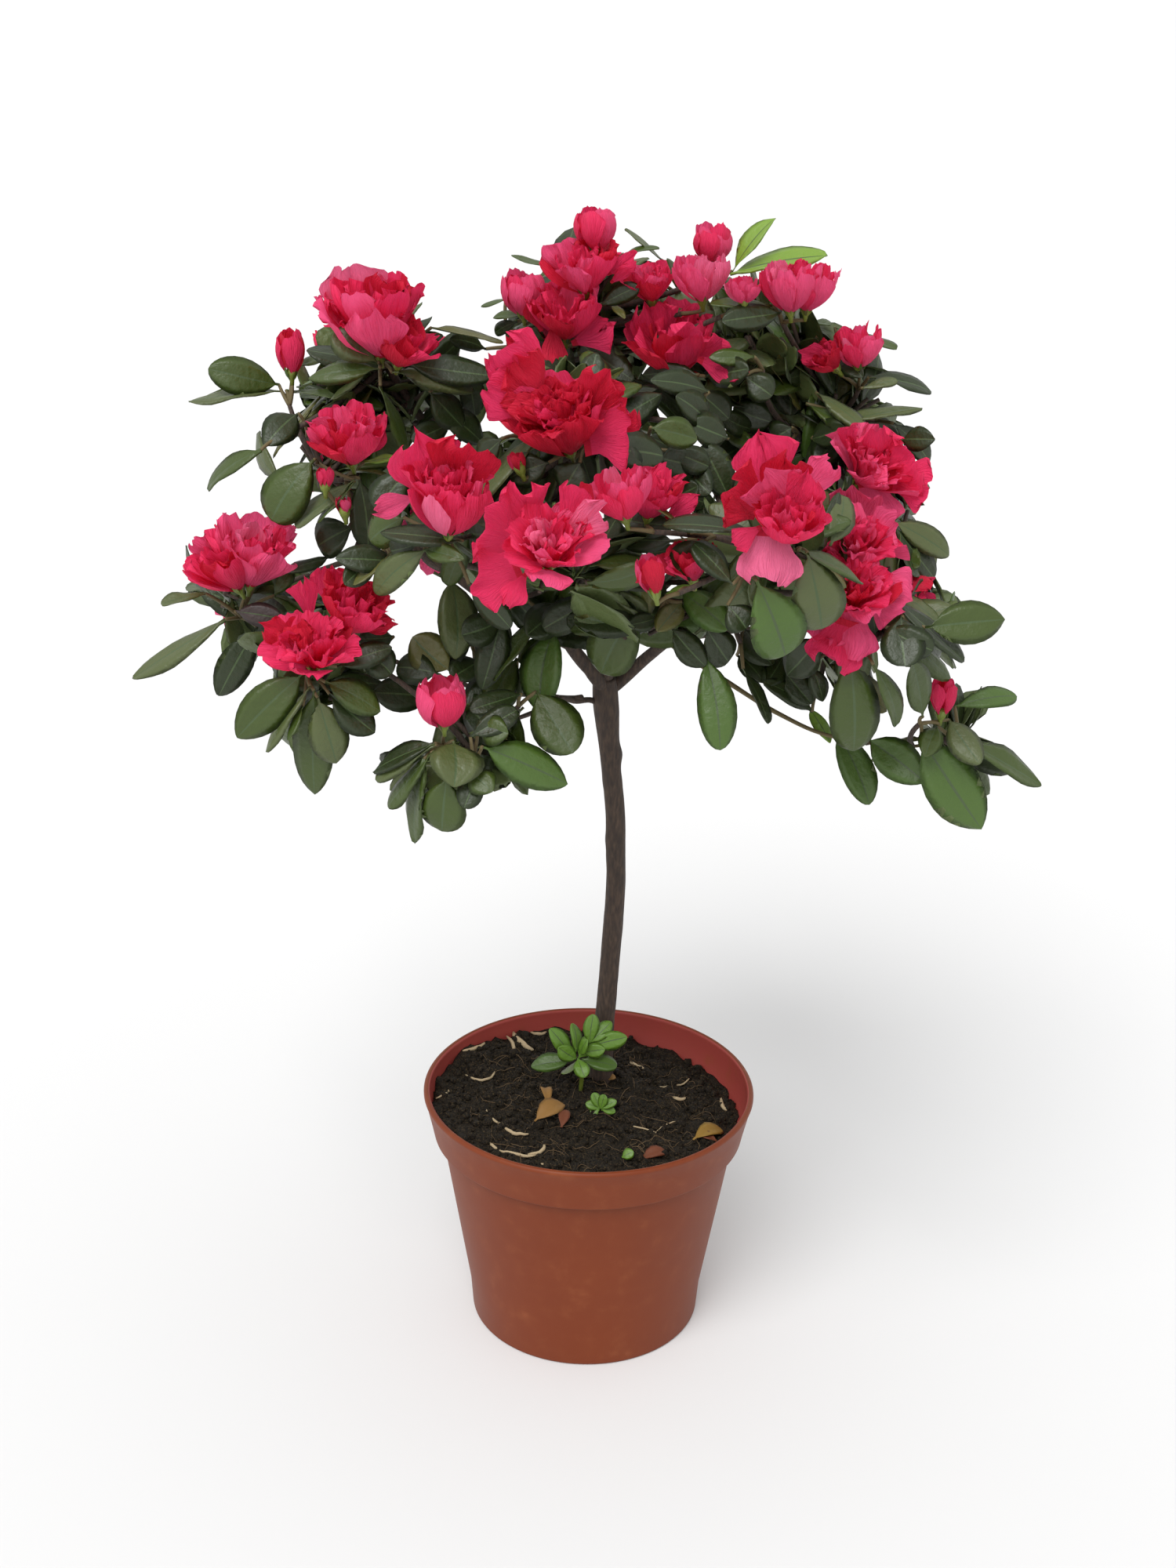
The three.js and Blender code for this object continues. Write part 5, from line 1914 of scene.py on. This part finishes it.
fallen = np.array(list(FALLEN.values()), float)
fallen_base = np.array([on_peat_seen(*row[:2]) for row in fallen]) + [0, 0, 0.8]
fallen_tip = np.array([on_peat_seen(*row[2:4]) for row in fallen]) + [0, 0, 1.6]
fallen_up = np.tile([0.1, -0.3, 1.0], (len(fallen), 1))
fold = np.full(len(fallen), 0.5)
dry = fallen[:, 6].astype(int)
fallen_piece = leaf_piece(
    "fallen_leaves",
    (fallen_base, fallen_tip, fallen_up, fallen[:, 4], fallen[:, 5], fold, dry),
    sprout_chance,
    looks=[dead_leaf_finish, yellow_leaf_finish, rust_leaf_finish],
)
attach(fallen_piece, "root")

# %% [markdown]
# ## Studio
#
# A pale floor that runs far past the camera's view, an even pale surround and one very large soft
# light high in front give soft modelling without a hard shadow. Colours are shown as they are given,
# without a film curve, so that the petals keep their strength.

# %% Floor and light
FLOOR_HALF = 160.0
FLOOR_GREY = 0.72
SURROUND = 0.88
SUN_STRENGTH = 2.2
SUN_SOFT = 34.0
SUN_TURN = -22.0
SUN_TILT = 38.0


def floor_finish():
    """A matt, near-white surface."""
    finish = Finish("studio_floor")
    return finish.done(finish.surface((FLOOR_GREY,) * 3, 0.9))


floor_mesh = bpy.data.meshes.new("studio_floor")
floor_corners = [(FLOOR_HALF * x, FLOOR_HALF * y, 0) for x, y in ((-1, -1), (1, -1), (1, 1), (-1, 1))]
floor_mesh.from_pydata(floor_corners, [], [(0, 1, 2, 3)])
floor_mesh.materials.append(floor_finish())
floor = add_object("studio_floor", floor_mesh)

world = bpy.data.worlds.new("surround")
world.use_nodes = True
backdrop = world.node_tree.nodes["Background"]
backdrop.inputs["Color"].default_value = (1, 1, 1, 1)
backdrop.inputs["Strength"].default_value = SURROUND
bpy.context.scene.world = world

sun_data = bpy.data.lights.new("soft_light", "SUN")
sun_data.energy = SUN_STRENGTH
sun_data.angle = math.radians(SUN_SOFT)
sun = add_object("soft_light", sun_data)
sun_turn = Matrix.Rotation(math.radians(SUN_TURN), 4, "Z")
sun.matrix_world = sun_turn @ Matrix.Rotation(math.radians(SUN_TILT), 4, "X")

bpy.context.scene.view_settings.view_transform = "Standard"
bpy.context.scene.view_settings.look = "None"

# %% End
print("the plant and its studio are built")
